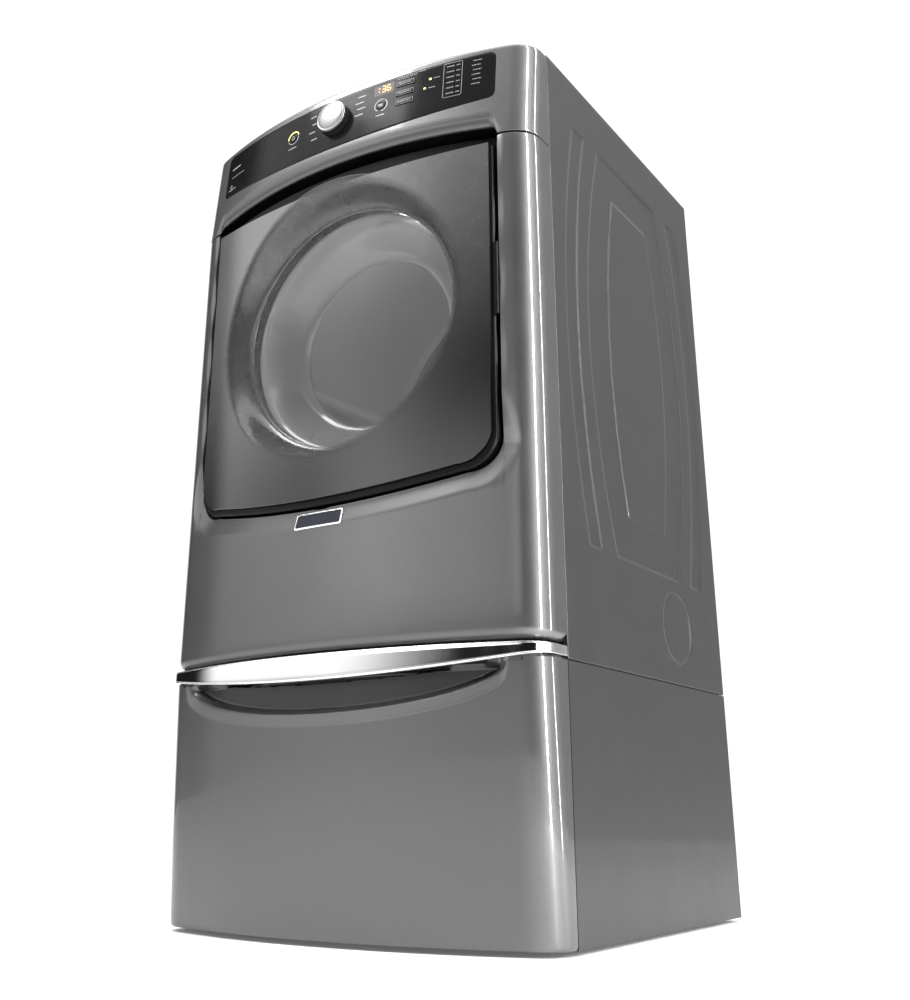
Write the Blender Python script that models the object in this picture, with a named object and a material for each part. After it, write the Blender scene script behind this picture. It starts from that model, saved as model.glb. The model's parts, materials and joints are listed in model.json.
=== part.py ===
"""Front-load tumble dryer on a drawer pedestal, built as separate named parts.

Frame: +X is the machine's right side as seen from the front, -Y is the front, +Z is up.
The origin is on the floor at the middle of the bounding box. Depths are measured forwards
from the back plane, so the helper back() turns a depth into a y coordinate.
"""
import math

import bmesh
import bpy
from mathutils import Matrix, Vector

# Driving dimensions, metres.
WIDTH = 0.700
HEIGHT = 1.360
DEPTH = 0.737
HALF = WIDTH / 2
BACK = DEPTH / 2
GAP = 0.0005                    # clearance between pieces that touch on the real machine

# Plan of the bowed front: one large arc, a rounded corner, then the flat sides.
SIDE_DEPTH = 0.603              # depth of the side panels, up to the front seam
BOW_RADIUS = 1.000
CORNER_RADIUS = 0.050
CORNER_STEPS = 4
BOW_STEPS = 10

# Heights.
FOOT_HEIGHT = 0.006
PEDESTAL_TOP = 0.370
TRIM_TOP = 0.3885
FRONT_BOTTOM = 0.3925
CONSOLE_SEAM = 1.184

# Depth of the front at the middle of the machine.
DRAWER_FOOT_DEPTH = 0.706
DRAWER_DEPTH = 0.727
TRIM_DEPTH = 0.735
FRONT_DEPTH = 0.727
CONSOLE_DEPTH = 0.728
CONSOLE_TOP_DEPTH = 0.712
SHEET = 0.003                   # sheet thickness used for the folded panels

# Door and its opening.
DOOR_DEPTH = 0.730
DOOR_HALF = 0.291
GLASS_HALF = 0.286
OPENING_HALF = 0.299
DOOR_BOTTOM = 0.613
GLASS_BOTTOM = 0.623
OPENING_BOTTOM = 0.607
GLASS_TOP = 1.160
GLASS_TOP_BOW = 0.10            # rise of the glass's top edge per metre squared of x
BROW_EDGE = 1.206
DOOR_CORNER = 0.055
EDGE_BOW = 0.40                 # rise of the door's lower edge per metre squared of x
BROW_BOW = -0.10
PAN_DEPTH = 0.634               # face of the recess that the door closes onto
LINER_BACK = 0.6425
FRAME_BACK = 0.646
HINGE_X = 0.2925
HINGE_DEPTH = 0.680
HINGE_LOW = 0.882
HINGE_HIGH = 0.984

# Drum and the parts that turn with it.
DRUM_Z = 0.930
DRUM_RADIUS = 0.322
DRUM_FRONT = 0.590
DRUM_BACK = 0.090
THROAT_RADIUS = 0.215
THROAT_WALL = 0.0045
BULKHEAD_DEPTH = 0.598
REAR_BULKHEAD = 0.062
ROLLER_RADIUS = 0.030
ROLLER_ANGLE = math.radians(35)
MOTOR_X = 0.120
MOTOR_Z = 0.475
PULLEY_RADIUS = 0.012
BELT_DEPTH = 0.300
BELT_THICKNESS = 0.002
BELT_WIDTH = 0.008
IDLER_RADIUS = 0.022
VENT_Z = 0.465
VENT_RADIUS = 0.051

# Console controls, as places on the control panel.
PANEL_HALF = 0.294
PANEL_BOTTOM = 1.240
PANEL_TOP = 1.343
PANEL_LOWER_BOW = 0.19
PANEL_UPPER_BOW = 0.07
PANEL_THICKNESS = 0.003
KNOB_PLACE = (0.0, 1.298)
POWER_PLACE = (-0.098, 1.300)
START_PLACE = (0.094, 1.295)
OPTION_X = 0.139
OPTION_HEIGHTS = (1.326, 1.307, 1.288)
DISPLAY_PLACE = (0.097, 1.328)
KNOB_RADIUS = 0.031
BUTTON_RADIUS = 0.0085
OPTION_SIZE = (0.034, 0.0105)
DISPLAY_SIZE = (0.040, 0.022)
BUTTON_CLEARANCE = 0.0003
BUTTON_TAIL = -0.006            # how far a button reaches behind the panel face
PROUD = 0.0012                  # how far a button stands out of it


def back(depth):
    """The y coordinate of a point the given depth in front of the back plane."""
    return BACK - depth


# --- scene, materials and small solids -----------------------------------------------------

def clear_scene():
    for item in list(bpy.data.objects):
        bpy.data.objects.remove(item, do_unlink=True)


def make_material(name, colour, metallic=0.0, roughness=0.5):
    material = bpy.data.materials.new(name)
    material.use_nodes = True
    shader = material.node_tree.nodes["Principled BSDF"]
    shader.inputs["Base Color"].default_value = (*colour, 1.0)
    shader.inputs["Metallic"].default_value = metallic
    shader.inputs["Roughness"].default_value = roughness
    return material


def finish_mesh(name, mesh_data, material):
    """Turn a bmesh into a linked object with outward faces."""
    bmesh.ops.recalc_face_normals(mesh_data, faces=mesh_data.faces)
    mesh = bpy.data.meshes.new(name)
    mesh_data.to_mesh(mesh)
    mesh_data.free()
    mesh.shade_smooth()
    mesh.set_sharp_from_angle(angle=math.radians(30))
    if material is not None:
        mesh.materials.append(material)
    item = bpy.data.objects.new(name, mesh)
    bpy.context.scene.collection.objects.link(item)
    return item


def box(name, x_range, depth_range, z_range, material=None):
    """A block between two x values, two depths and two heights."""
    y_range = [back(depth) for depth in depth_range]
    low = Vector([min(pair) for pair in (x_range, y_range, z_range)])
    high = Vector([max(pair) for pair in (x_range, y_range, z_range)])
    mesh_data = bmesh.new()
    place = Matrix.Translation((low + high) / 2) @ Matrix.Diagonal((*(high - low), 1.0))
    bmesh.ops.create_cube(mesh_data, size=1.0, matrix=place)
    return finish_mesh(name, mesh_data, material)


def prism(name, points, travel, material=None):
    """A flat outline pushed along a vector."""
    mesh_data = bmesh.new()
    face = mesh_data.faces.new([mesh_data.verts.new(point) for point in points])
    pushed = bmesh.ops.extrude_face_region(mesh_data, geom=[face])
    moved = [item for item in pushed["geom"] if isinstance(item, bmesh.types.BMVert)]
    bmesh.ops.translate(mesh_data, verts=moved, vec=travel)
    return finish_mesh(name, mesh_data, material)


def turned(name, profile, centre, material=None, steps=40, axis=(0, -1, 0)):
    """Spin a closed profile of (radius, distance along the axis) about an axis through centre."""
    axis = Vector(axis).normalized()
    side = axis.orthogonal().normalized()
    centre = Vector(centre)
    mesh_data = bmesh.new()
    verts = [mesh_data.verts.new(centre + axis * along + side * radius) for radius, along in profile]
    edges = [mesh_data.edges.new((verts[i - 1], verts[i])) for i in range(len(verts))]
    bmesh.ops.spin(mesh_data, geom=verts + edges, cent=centre, axis=axis,
                   angle=math.tau, steps=steps, use_merge=True)
    bmesh.ops.remove_doubles(mesh_data, verts=mesh_data.verts, dist=1e-6)
    bmesh.ops.dissolve_degenerate(mesh_data, edges=mesh_data.edges, dist=1e-6)
    return finish_mesh(name, mesh_data, material)


def rod(name, radius, start, end, material=None, steps=16):
    """A plain round bar between two points."""
    start = Vector(start)
    end = Vector(end)
    length = (end - start).length
    turn = (end - start).to_track_quat("Z", "Y").to_matrix().to_4x4()
    mesh_data = bmesh.new()
    bmesh.ops.create_cone(mesh_data, cap_ends=True, segments=steps, radius1=radius, radius2=radius,
                          depth=length, matrix=Matrix.Translation((start + end) / 2) @ turn)
    return finish_mesh(name, mesh_data, material)


def depth_rod(name, radius, centre, depth_range, material=None, steps=16):
    """A round bar that runs front to back, from its centre in x and z and its two depths."""
    x, z = centre
    ends = [(x, back(depth), z) for depth in depth_range]
    return rod(name, radius, *ends, material, steps)


def depth_turned(name, profile, centre, material=None, steps=40):
    """Spin a profile of (radius, depth) about a front-to-back axis through a centre in x and z."""
    x, z = centre
    return turned(name, profile, (x, back(0), z), material, steps)


def combine(target, tool, operation="DIFFERENCE"):
    """Cut or join with a helper solid, which stays in the scene as a hidden guide."""
    modifier = target.modifiers.new(tool.name, "BOOLEAN")
    modifier.operation = operation
    modifier.solver = "EXACT"
    modifier.object = tool
    tool.hide_render = True
    tool.display_type = "WIRE"
    return target


def bevel(target, width, segments=2):
    modifier = target.modifiers.new("edge rounding", "BEVEL")
    modifier.width = width
    modifier.segments = segments
    modifier.limit_method = "ANGLE"
    modifier.angle_limit = math.radians(40)


def set_origin(item, point):
    """Put an object's origin on a joint axis without moving its shape."""
    point = Vector(point)
    item.data.transform(Matrix.Translation(-point))
    item.location = point


# --- the bowed front ------------------------------------------------------------------------

def bow_drop(x, radius=BOW_RADIUS):
    """How far the bowed front falls back at a distance x from the middle."""
    return radius - math.sqrt(radius * radius - x * x)


def plan_outline(depth, inset=0.0, rear=SIDE_DEPTH):
    """Points round the front in plan, from the right rear corner to the left rear corner."""
    bow_centre = back(depth) + BOW_RADIUS
    corner_x = HALF - CORNER_RADIUS
    reach = BOW_RADIUS - CORNER_RADIUS
    corner_y = bow_centre - math.sqrt(reach * reach - corner_x * corner_x)
    meet = math.atan2(corner_y - bow_centre, corner_x)
    corner = CORNER_RADIUS - inset
    bow = BOW_RADIUS - inset
    right = [(HALF - inset, back(rear))]
    for step in range(CORNER_STEPS):
        angle = meet * step / CORNER_STEPS
        right.append((corner_x + corner * math.cos(angle), corner_y + corner * math.sin(angle)))
    middle = []
    for step in range(BOW_STEPS + 1):
        angle = meet + (-math.pi - 2 * meet) * step / BOW_STEPS
        middle.append((bow * math.cos(angle), bow_centre + bow * math.sin(angle)))
    return right + middle + [(-x, y) for x, y in reversed(right)]


def loft_shell(name, levels, material=None):
    """A wall that follows the front outline; each level is (height, depth, outer inset, inner inset)."""
    mesh_data = bmesh.new()
    rings = []
    for height, depth, outer_inset, inner_inset in levels:
        outer = [mesh_data.verts.new((x, y, height)) for x, y in plan_outline(depth, outer_inset)]
        inner = [mesh_data.verts.new((x, y, height)) for x, y in plan_outline(depth, inner_inset)]
        rings.append(outer + inner[::-1])
    for low, high in zip(rings, rings[1:]):
        for i in range(len(low)):
            mesh_data.faces.new((low[i - 1], low[i], high[i], high[i - 1]))
    count = len(rings[0]) // 2
    for ring in (rings[0], rings[-1]):
        for i in range(count - 1):
            mesh_data.faces.new((ring[i], ring[i + 1], ring[-2 - i], ring[-1 - i]))
    return finish_mesh(name, mesh_data, material)


def loft_solid(name, levels, rear=SIDE_DEPTH, material=None):
    """A filled block behind the front outline; each level is (height, depth, inset)."""
    mesh_data = bmesh.new()
    rings = []
    for height, depth, inset in levels:
        outline = plan_outline(depth, inset, rear)
        rings.append([mesh_data.verts.new((x, y, height)) for x, y in outline])
    for low, high in zip(rings, rings[1:]):
        for i in range(len(low)):
            mesh_data.faces.new((low[i - 1], low[i], high[i], high[i - 1]))
    mesh_data.faces.new(rings[0])
    mesh_data.faces.new(rings[-1])
    return finish_mesh(name, mesh_data, material)


def columns(half, corner=0.0, middle_steps=8, corner_steps=4):
    """Positions across a plate, closer together where its corners are rounded."""
    inner = half - corner
    places = [inner * (2 * i / middle_steps - 1) for i in range(middle_steps + 1)]
    if corner:
        turn = [inner + corner * math.sin(math.pi / 2 * i / corner_steps) for i in range(1, corner_steps + 1)]
        places = [-x for x in reversed(turn)] + places + turn
    return places


def curved_plate(name, places, bottom, top, front, rear, material=None):
    """A plate given by columns: bottom(x), top(x) heights and front(x, z), rear(x, z) depths."""
    mesh_data = bmesh.new()
    rings = []
    for x in places:
        low = bottom(x)
        high = top(x)
        ring = [(front(x, low), low), (front(x, high), high), (rear(x, high), high), (rear(x, low), low)]
        rings.append([mesh_data.verts.new((x, back(depth), z)) for depth, z in ring])
    for left, right in zip(rings, rings[1:]):
        for i in range(4):
            mesh_data.faces.new((left[i - 1], left[i], right[i], right[i - 1]))
    mesh_data.faces.new(rings[0])
    mesh_data.faces.new(rings[-1])
    return finish_mesh(name, mesh_data, material)


def lower_edge(height, half, bow=EDGE_BOW, corner=DOOR_CORNER):
    """A lower edge that rises gently from the middle and turns up round a corner at each end."""
    start = half - corner
    turn_centre = height + bow * start * start + corner

    def edge(x):
        past = abs(x) - start
        if past <= 0:
            return height + bow * x * x
        return turn_centre - math.sqrt(max(corner * corner - past * past, 0.0))
    return edge


def upper_edge(height, half, bow, corner):
    """The same, for an upper edge whose ends turn down."""
    start = half - corner
    turn_centre = height + bow * start * start - corner

    def edge(x):
        past = abs(x) - start
        if past <= 0:
            return height + bow * x * x
        return turn_centre + math.sqrt(max(corner * corner - past * past, 0.0))
    return edge


def flat_depth(depth):
    return lambda x, z: depth


def bowed_depth(depth):
    return lambda x, z: depth - bow_drop(x)


CONSOLE_SLOPE = (CONSOLE_DEPTH - CONSOLE_TOP_DEPTH) / (HEIGHT - CONSOLE_SEAM)


def console_depth(offset):
    """Depth of the leaning console face, moved forwards by an offset."""
    return lambda x, z: CONSOLE_DEPTH + offset - CONSOLE_SLOPE * (z - CONSOLE_SEAM) - bow_drop(x)


# --- pedestal -------------------------------------------------------------------------------

FOOT_PLACES = [(side * 0.285, depth) for depth in (0.535, 0.060) for side in (1, -1)]
RAIL_Z = 0.190
BOX_HALF = 0.3332
BOX_LOW = 0.030
BOX_REAR = 0.060
BOX_FRONT = 0.628
STEM_RADIUS = 0.006             # threaded stem of each levelling foot


def build_pedestal_cabinet(paint):
    wall = SHEET
    cabinet = box("pedestal_cabinet", (-HALF, HALF), (0, SIDE_DEPTH - GAP),
                  (FOOT_HEIGHT, PEDESTAL_TOP - GAP), paint)
    inside = box("cabinet interior", (-HALF + wall, HALF - wall), (wall, SIDE_DEPTH + 0.01),
                 (FOOT_HEIGHT + wall, PEDESTAL_TOP - GAP - wall))
    combine(cabinet, inside)
    for number, (x, depth) in enumerate(FOOT_PLACES, 1):
        low = (x, back(depth), 0)
        high = (x, back(depth), FOOT_HEIGHT + 2 * wall)
        combine(cabinet, rod(f"foot hole {number}", STEM_RADIUS + 0.0003, low, high))
    return cabinet


def build_feet(rubber):
    pad = 0.021
    stem_top = 0.026
    profile = [(0, 0), (pad - 0.0025, 0), (pad, 0.0025), (pad, FOOT_HEIGHT - GAP),
               (STEM_RADIUS, FOOT_HEIGHT - GAP), (STEM_RADIUS, stem_top), (0, stem_top)]
    for number, (x, depth) in enumerate(FOOT_PLACES, 1):
        turned(f"foot_{number}", profile, (x, back(depth), 0), rubber, steps=16, axis=(0, 0, 1))


def build_rails(steel):
    """The fixed channel and the sliding bar on each side of the drawer."""
    outer_face = HALF - SHEET - GAP
    for side, label in ((1, "right"), (-1, "left")):
        channel = box(f"rail_outer_{label}", (side * (outer_face - 0.008), side * outer_face),
                      (0.050, 0.590), (RAIL_Z - 0.022, RAIL_Z + 0.022), steel)
        groove = box(f"rail groove {label}", (side * (outer_face - 0.02), side * (outer_face - 0.002)),
                     (0.04, 0.62), (RAIL_Z - 0.014, RAIL_Z + 0.014))
        combine(channel, groove)
        box(f"rail_inner_{label}", (side * (BOX_HALF + GAP), side * (outer_face - 0.003)),
            (0.060, 0.598), (RAIL_Z - 0.012, RAIL_Z + 0.012), steel)


def build_drawer_box(plastic):
    wall = SHEET
    drawer = box("drawer_box", (-BOX_HALF, BOX_HALF), (BOX_REAR, BOX_FRONT), (BOX_LOW, 0.262), plastic)
    inside = box("drawer interior", (-BOX_HALF + wall, BOX_HALF - wall),
                 (BOX_REAR + wall, BOX_FRONT - wall), (BOX_LOW + wall, 0.30))
    return combine(drawer, inside)


def trim_bottom(x):
    """Lower edge of the bright trim: deepest at the middle."""
    return 0.351 + 0.19 * x * x


def wrapped_band(name, depth, outer_inset, inner_inset, bottom, top, material=None):
    """A strip that wraps round the front outline between two edge heights given by x."""
    face = plan_outline(depth)
    outer = plan_outline(depth, outer_inset)
    inner = plan_outline(depth, inner_inset)
    mesh_data = bmesh.new()
    rings = []
    for (face_x, _), (outer_x, outer_y), (inner_x, inner_y) in zip(face, outer, inner):
        low = bottom(face_x)
        ring = [(outer_x, outer_y, low), (outer_x, outer_y, top),
                (inner_x, inner_y, top), (inner_x, inner_y, low)]
        rings.append([mesh_data.verts.new(point) for point in ring])
    for first, second in zip(rings, rings[1:]):
        for i in range(4):
            mesh_data.faces.new((first[i - 1], first[i], second[i], second[i - 1]))
    mesh_data.faces.new(rings[0])
    mesh_data.faces.new(rings[-1])
    return finish_mesh(name, mesh_data, material)


def scoop_cutter():
    """The finger pocket: it follows the bow and reaches a little way up behind the trim."""
    half_width = 0.305
    half_depth = 0.030
    height = 0.353
    drop = 0.058
    rise = 0.017
    scoop = bmesh.new()
    bmesh.ops.create_uvsphere(scoop, u_segments=24, v_segments=12, radius=1.0)
    for vert in scoop.verts:
        x = half_width * vert.co.x
        y = back(0.722) + half_depth * vert.co.y + bow_drop(x)
        z = height + vert.co.z * (rise if vert.co.z > 0 else drop)
        vert.co = (x, y, z)
    return finish_mesh("finger scoop", scoop, None)


def build_drawer_front(paint):
    """A bowed front that is thick enough at the top to hold the finger scoop."""
    thin = 0.004
    thick = 0.040
    levels = [
        (FOOT_HEIGHT, DRAWER_FOOT_DEPTH - 0.002, 0.003, thin + 0.003),
        (FOOT_HEIGHT + 0.005, DRAWER_FOOT_DEPTH, 0.0, thin),
        (0.268, DRAWER_DEPTH - 0.007, 0.0, thin),
        (0.298, DRAWER_DEPTH - 0.0045, 0.0, thick),
        (TRIM_TOP - 0.002, DRAWER_DEPTH, 0.0, thick),
    ]
    front = loft_shell("drawer_front", levels, paint)
    seat = wrapped_band("trim seat", TRIM_DEPTH, -0.02, 0.007, lambda x: trim_bottom(x) - GAP, 0.41)
    combine(front, seat)
    return combine(front, scoop_cutter())


def build_drawer_trim(chrome):
    return wrapped_band("drawer_trim", TRIM_DEPTH, 0.0, 0.006, trim_bottom, TRIM_TOP, chrome)


# --- cabinet of the machine -------------------------------------------------------------------

SKIN = 0.0025                   # side panel thickness
EMBOSS = 0.0012                 # depth of the pressed shapes in the side panels
PRESS_CENTRE = 0.297            # depth at the middle of the pressed shapes
PRESS_Z = 0.907
CUTTER_START = 0.010            # how far outside a panel the pressing tools begin


def pressing_point(side, forward, up):
    """A point just outside a side panel, measured from the middle of the pressed shapes."""
    return side * (HALF + CUTTER_START), back(PRESS_CENTRE + forward), PRESS_Z + up


def barrel_outline(side, middle_half, end_half, half_height, steps=10):
    """An upright barrel shape on a side panel, bulging towards the front and the rear."""
    points = []
    for direction in (1, -1):
        for step in range(steps + 1):
            height = direction * (2 * step / steps - 1)
            width = middle_half - (middle_half - end_half) * height * height
            points.append(pressing_point(side, direction * width, height * half_height))
    return points


def rib_outline(side, direction, steps=10):
    """A narrow curved rib beside the barrel; direction is 1 for the front rib, -1 for the rear."""
    half_height = 0.360
    points = []
    for edge, end_half in ((0.264, 0.214), (0.228, 0.184)):
        run = []
        for step in range(steps + 1):
            height = 2 * step / steps - 1
            width = edge - (edge - end_half) * height * height
            run.append(pressing_point(side, direction * width, height * half_height))
        points += run if edge > 0.25 else run[::-1]
    return points


def build_side_panel(side, label, paint):
    panel = box(f"side_panel_{label}", (side * (HALF - SKIN), side * HALF), (0, SIDE_DEPTH - GAP),
                (PEDESTAL_TOP + GAP, HEIGHT), paint)
    shapes = [barrel_outline(side, 0.187, 0.122, 0.359), rib_outline(side, 1), rib_outline(side, -1)]
    push = Vector((-side * (CUTTER_START + EMBOSS), 0, 0))
    for number, outline in enumerate(shapes, 1):
        combine(panel, prism(f"{label} pressing {number}", outline, push))
    if side == 1:
        inner = 0.0590
        outer = 0.0600
        deep = -0.0006
        ring = [(outer, deep), (outer, 0.01), (inner, 0.01), (inner, deep)]
        groove = turned("vent knock-out groove", ring, (HALF, back(0.196), VENT_Z), steps=32, axis=(1, 0, 0))
        combine(panel, groove)
    return panel


def build_base_pan(steel):
    half = HALF - SKIN - GAP
    rear = 0.0155
    front = 0.600
    pan = box("base_pan", (-half, half), (rear, front), (PEDESTAL_TOP + GAP, 0.392), steel)
    hollow = box("base pan hollow", (-half + SHEET, half - SHEET), (rear + SHEET, front - SHEET),
                 (PEDESTAL_TOP + GAP + SHEET, 0.42))
    return combine(pan, hollow)


def build_top_panel(paint):
    half = HALF - SKIN - GAP
    top = box("top_panel", (-half, half), (0, SIDE_DEPTH - GAP), (HEIGHT - 0.022, HEIGHT), paint)
    hollow = box("top panel hollow", (-half + SHEET, half - SHEET), (SHEET, SIDE_DEPTH - GAP - SHEET),
                 (HEIGHT - 0.03, HEIGHT - SHEET))
    return combine(top, hollow)


def build_rear_panel(steel):
    half = HALF - SKIN - GAP
    panel = box("rear_panel", (-half, half), (0.012, 0.015), (PEDESTAL_TOP + 0.002, HEIGHT - 0.0225), steel)
    combine(panel, depth_rod("vent hole", VENT_RADIUS + GAP, (0, VENT_Z), (-0.01, 0.03), steps=32))
    for number, middle in enumerate((0.80, 1.10), 1):
        press = box(f"rear pressing {number}", (-0.25, 0.25), (0.0, 0.0135), (middle - 0.11, middle + 0.11))
        bevel(press, 0.02, 3)
        combine(panel, press)
    return panel


def build_terminal_cover(steel):
    """The cover plate over the mains terminals, with the empty hole where a lead would enter."""
    cover = box("terminal_cover", (0.19, 0.30), (0.0015, 0.0115), (0.46, 0.56), steel)
    bevel(cover, 0.004)
    hole = rod("lead hole", 0.013, (0.245, back(0.0067), 0.45), (0.245, back(0.0067), 0.475), steps=16)
    return combine(cover, hole)


def opening_cutter(name, top, front, rear):
    places = columns(OPENING_HALF, DOOR_CORNER)
    return curved_plate(name, places, lower_edge(OPENING_BOTTOM, OPENING_HALF), top,
                        flat_depth(front), flat_depth(rear))


def build_front_panel(paint):
    """The bowed front with its door recess: a pressed skin, the recess walls and its flat face."""
    top = CONSOLE_SEAM - GAP
    levels = [
        (FRONT_BOTTOM, FRONT_DEPTH - 0.012, 0.004),
        (FRONT_BOTTOM + 0.004, FRONT_DEPTH - 0.006, 0.001),
        (FRONT_BOTTOM + 0.014, FRONT_DEPTH, 0.0),
        (top, FRONT_DEPTH, 0.0),
    ]
    front = loft_solid("front_panel", levels, material=paint)
    cavity = loft_solid("front cavity", [(FRONT_BOTTOM - 0.01, FRONT_DEPTH - 0.012, SHEET + 0.004),
                                         (FRONT_BOTTOM + 0.014, FRONT_DEPTH, SHEET),
                                         (top + 0.02, FRONT_DEPTH, SHEET)], rear=0.55)
    places = columns(OPENING_HALF + SHEET, DOOR_CORNER + SHEET)
    pan = curved_plate("recess block", places,
                       lower_edge(OPENING_BOTTOM - SHEET, OPENING_HALF + SHEET, corner=DOOR_CORNER + SHEET),
                       lambda x: top + 0.05, flat_depth(0.80), flat_depth(PAN_DEPTH - SHEET))
    combine(cavity, pan)
    combine(front, cavity)
    combine(front, opening_cutter("door recess", lambda x: top + 0.05, 0.80, PAN_DEPTH))
    return combine(front, depth_rod("recess hole", THROAT_RADIUS, (0, DRUM_Z), (0.60, 0.70), steps=40))


def brow(x):
    return upper_edge(BROW_EDGE, OPENING_HALF, BROW_BOW, 0.018)(x)


def build_console(plastic):
    """The leaning fascia over the door, with the brow, the door notch and the panel window."""
    levels = [
        (CONSOLE_SEAM, CONSOLE_DEPTH, 0.0),
        (HEIGHT - 0.006, CONSOLE_TOP_DEPTH, 0.0),
        (HEIGHT, CONSOLE_TOP_DEPTH - 0.003, 0.003),
    ]
    console = loft_solid("console_housing", levels, material=plastic)
    hollow = loft_solid("console hollow", [(BROW_EDGE + 0.016, CONSOLE_DEPTH - 0.020, 0.010),
                                           (HEIGHT - 0.004, CONSOLE_TOP_DEPTH - 0.016, 0.010)], rear=0.55)
    combine(console, hollow)
    combine(console, opening_cutter("door notch", brow, 0.80, PAN_DEPTH))
    combine(console, panel_plate("panel seat", 0.02, -PANEL_THICKNESS - GAP, GAP))
    window = curved_plate("panel window", columns(PANEL_HALF - 0.02),
                          lambda x: PANEL_BOTTOM + 0.014 + PANEL_LOWER_BOW * x * x,
                          lambda x: PANEL_TOP - 0.010, flat_depth(0.80), flat_depth(0.60))
    return combine(console, window)


def panel_plate(name, proud, sunk, margin, material=None):
    """A plate on the leaning console face in the outline of the control panel."""
    half = PANEL_HALF + margin
    corner = 0.012
    return curved_plate(name, columns(half, corner),
                        lower_edge(PANEL_BOTTOM - margin, half, PANEL_LOWER_BOW, corner),
                        upper_edge(PANEL_TOP + margin, half, PANEL_UPPER_BOW, corner),
                        console_depth(proud), console_depth(sunk), material)


# --- console controls ----------------------------------------------------------------------------

def panel_frame(place, proud=0.0):
    """Local axes on the control panel: X across, Y up the face, Z straight out of it."""
    x, z = place
    depth = console_depth(proud)(x, z)
    across = Vector((1, x / math.sqrt(BOW_RADIUS ** 2 - x * x), 0)).normalized()
    up = Vector((0, CONSOLE_SLOPE, 1)).normalized()
    out = across.cross(up).normalized()
    up = out.cross(across)
    turn = Matrix((across, up, out)).transposed().to_4x4()
    return Matrix.Translation((x, back(depth), z)) @ turn


def place_on_panel(item, place):
    """Stand a piece made about the world origin on the panel, with its origin on its own axis."""
    item.matrix_world = panel_frame(place)
    return item


def local_rod(name, radius, low, high, material=None, steps=20):
    return rod(name, radius, (0, 0, low), (0, 0, high), material, steps)


def local_block(name, size, low, high, corner, material=None):
    """A block with rounded corners in local panel axes."""
    mesh_data = bmesh.new()
    points = []
    for sign_x, sign_y, start in ((1, 1, 0), (-1, 1, 90), (-1, -1, 180), (1, -1, 270)):
        for step in range(3):
            angle = math.radians(start + 45 * step)
            points.append((sign_x * (size[0] / 2 - corner) + corner * math.cos(angle),
                           sign_y * (size[1] / 2 - corner) + corner * math.sin(angle), low))
    face = mesh_data.faces.new([mesh_data.verts.new(point) for point in points])
    pushed = bmesh.ops.extrude_face_region(mesh_data, geom=[face])
    moved = [item for item in pushed["geom"] if isinstance(item, bmesh.types.BMVert)]
    bmesh.ops.translate(mesh_data, verts=moved, vec=(0, 0, high - low))
    return finish_mesh(name, mesh_data, material)


def panel_hole(panel, cutter, place):
    """Cut straight through the control panel at a place on it."""
    combine(panel, place_on_panel(cutter, place))


def build_round_button(panel, name, place, finish):
    radius = BUTTON_RADIUS + BUTTON_CLEARANCE
    panel_hole(panel, local_rod(f"{name} hole", radius, -0.01, 0.01), place)
    place_on_panel(local_rod(name, BUTTON_RADIUS, BUTTON_TAIL, PROUD, finish), place)


def build_option_button(panel, number, height, finish):
    corner = 0.0015
    opening = [length + 2 * BUTTON_CLEARANCE for length in OPTION_SIZE]
    place = (OPTION_X, height)
    panel_hole(panel, local_block(f"option hole {number}", opening, -0.01, 0.01, corner), place)
    button = local_block(f"button_option_{number}", OPTION_SIZE, BUTTON_TAIL, PROUD, corner, finish)
    place_on_panel(button, place)


def build_display(panel, lens):
    corner = 0.002
    opening = [length + 2 * BUTTON_CLEARANCE for length in DISPLAY_SIZE]
    panel_hole(panel, local_block("display hole", opening, -0.01, 0.01, corner), DISPLAY_PLACE)
    window = local_block("display_window", DISPLAY_SIZE, 0.0003 - PANEL_THICKNESS, -0.0003, corner, lens)
    place_on_panel(window, DISPLAY_PLACE)


def build_knob(panel, chrome):
    """The programme knob: its domed face ends exactly at the front of the bounding box."""
    shaft = 0.008
    shaft_end = -0.012
    skirt = 0.0008
    dome = 0.016
    rise = 0.0006
    panel_hole(panel, local_rod("knob hole", shaft + 0.0005, -0.01, 0.01), KNOB_PLACE)
    reach = (DEPTH - console_depth(0.0)(*KNOB_PLACE)) * math.hypot(1, CONSOLE_SLOPE)
    tip = reach - dome * CONSOLE_SLOPE + rise
    profile = [(0, shaft_end), (shaft, shaft_end), (shaft, skirt), (KNOB_RADIUS, skirt),
               (KNOB_RADIUS, 0.003), (KNOB_RADIUS - 0.002, tip - 0.008), (KNOB_RADIUS - 0.0035, tip - 0.004),
               (KNOB_RADIUS - 0.008, tip - 0.0018), (dome, tip - rise), (0, tip)]
    knob = turned("control_knob", profile, (0, 0, 0), chrome, steps=32, axis=(0, 0, 1))
    place_on_panel(knob, KNOB_PLACE)


def build_controls(black, chrome, lens):
    panel = panel_plate("control_panel", 0.0, -PANEL_THICKNESS, 0.0, black)
    build_round_button(panel, "button_power", POWER_PLACE, black)
    build_round_button(panel, "button_start", START_PLACE, black)
    for number, height in enumerate(OPTION_HEIGHTS, 1):
        build_option_button(panel, number, height, black)
    build_display(panel, lens)
    build_knob(panel, chrome)


def build_badge(metal):
    """A plain plate below the door."""
    half_width = 0.045
    half_height = 0.013
    middle = 0.591
    corner = 0.003
    return curved_plate("badge_plate", columns(half_width, corner, 6, 3),
                        lower_edge(middle - half_height, half_width, 0.0, corner),
                        upper_edge(middle + half_height, half_width, 0.0, corner),
                        bowed_depth(FRONT_DEPTH + 0.0022), bowed_depth(FRONT_DEPTH + 0.0003), metal)


# --- door ------------------------------------------------------------------------------------------

GLASS = 0.005
FRAME_FRONT = DOOR_DEPTH - GLASS - GAP
FRAME_HOLE = 0.2125


def glass_top(x):
    return GLASS_TOP + GLASS_TOP_BOW * x * x


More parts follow.
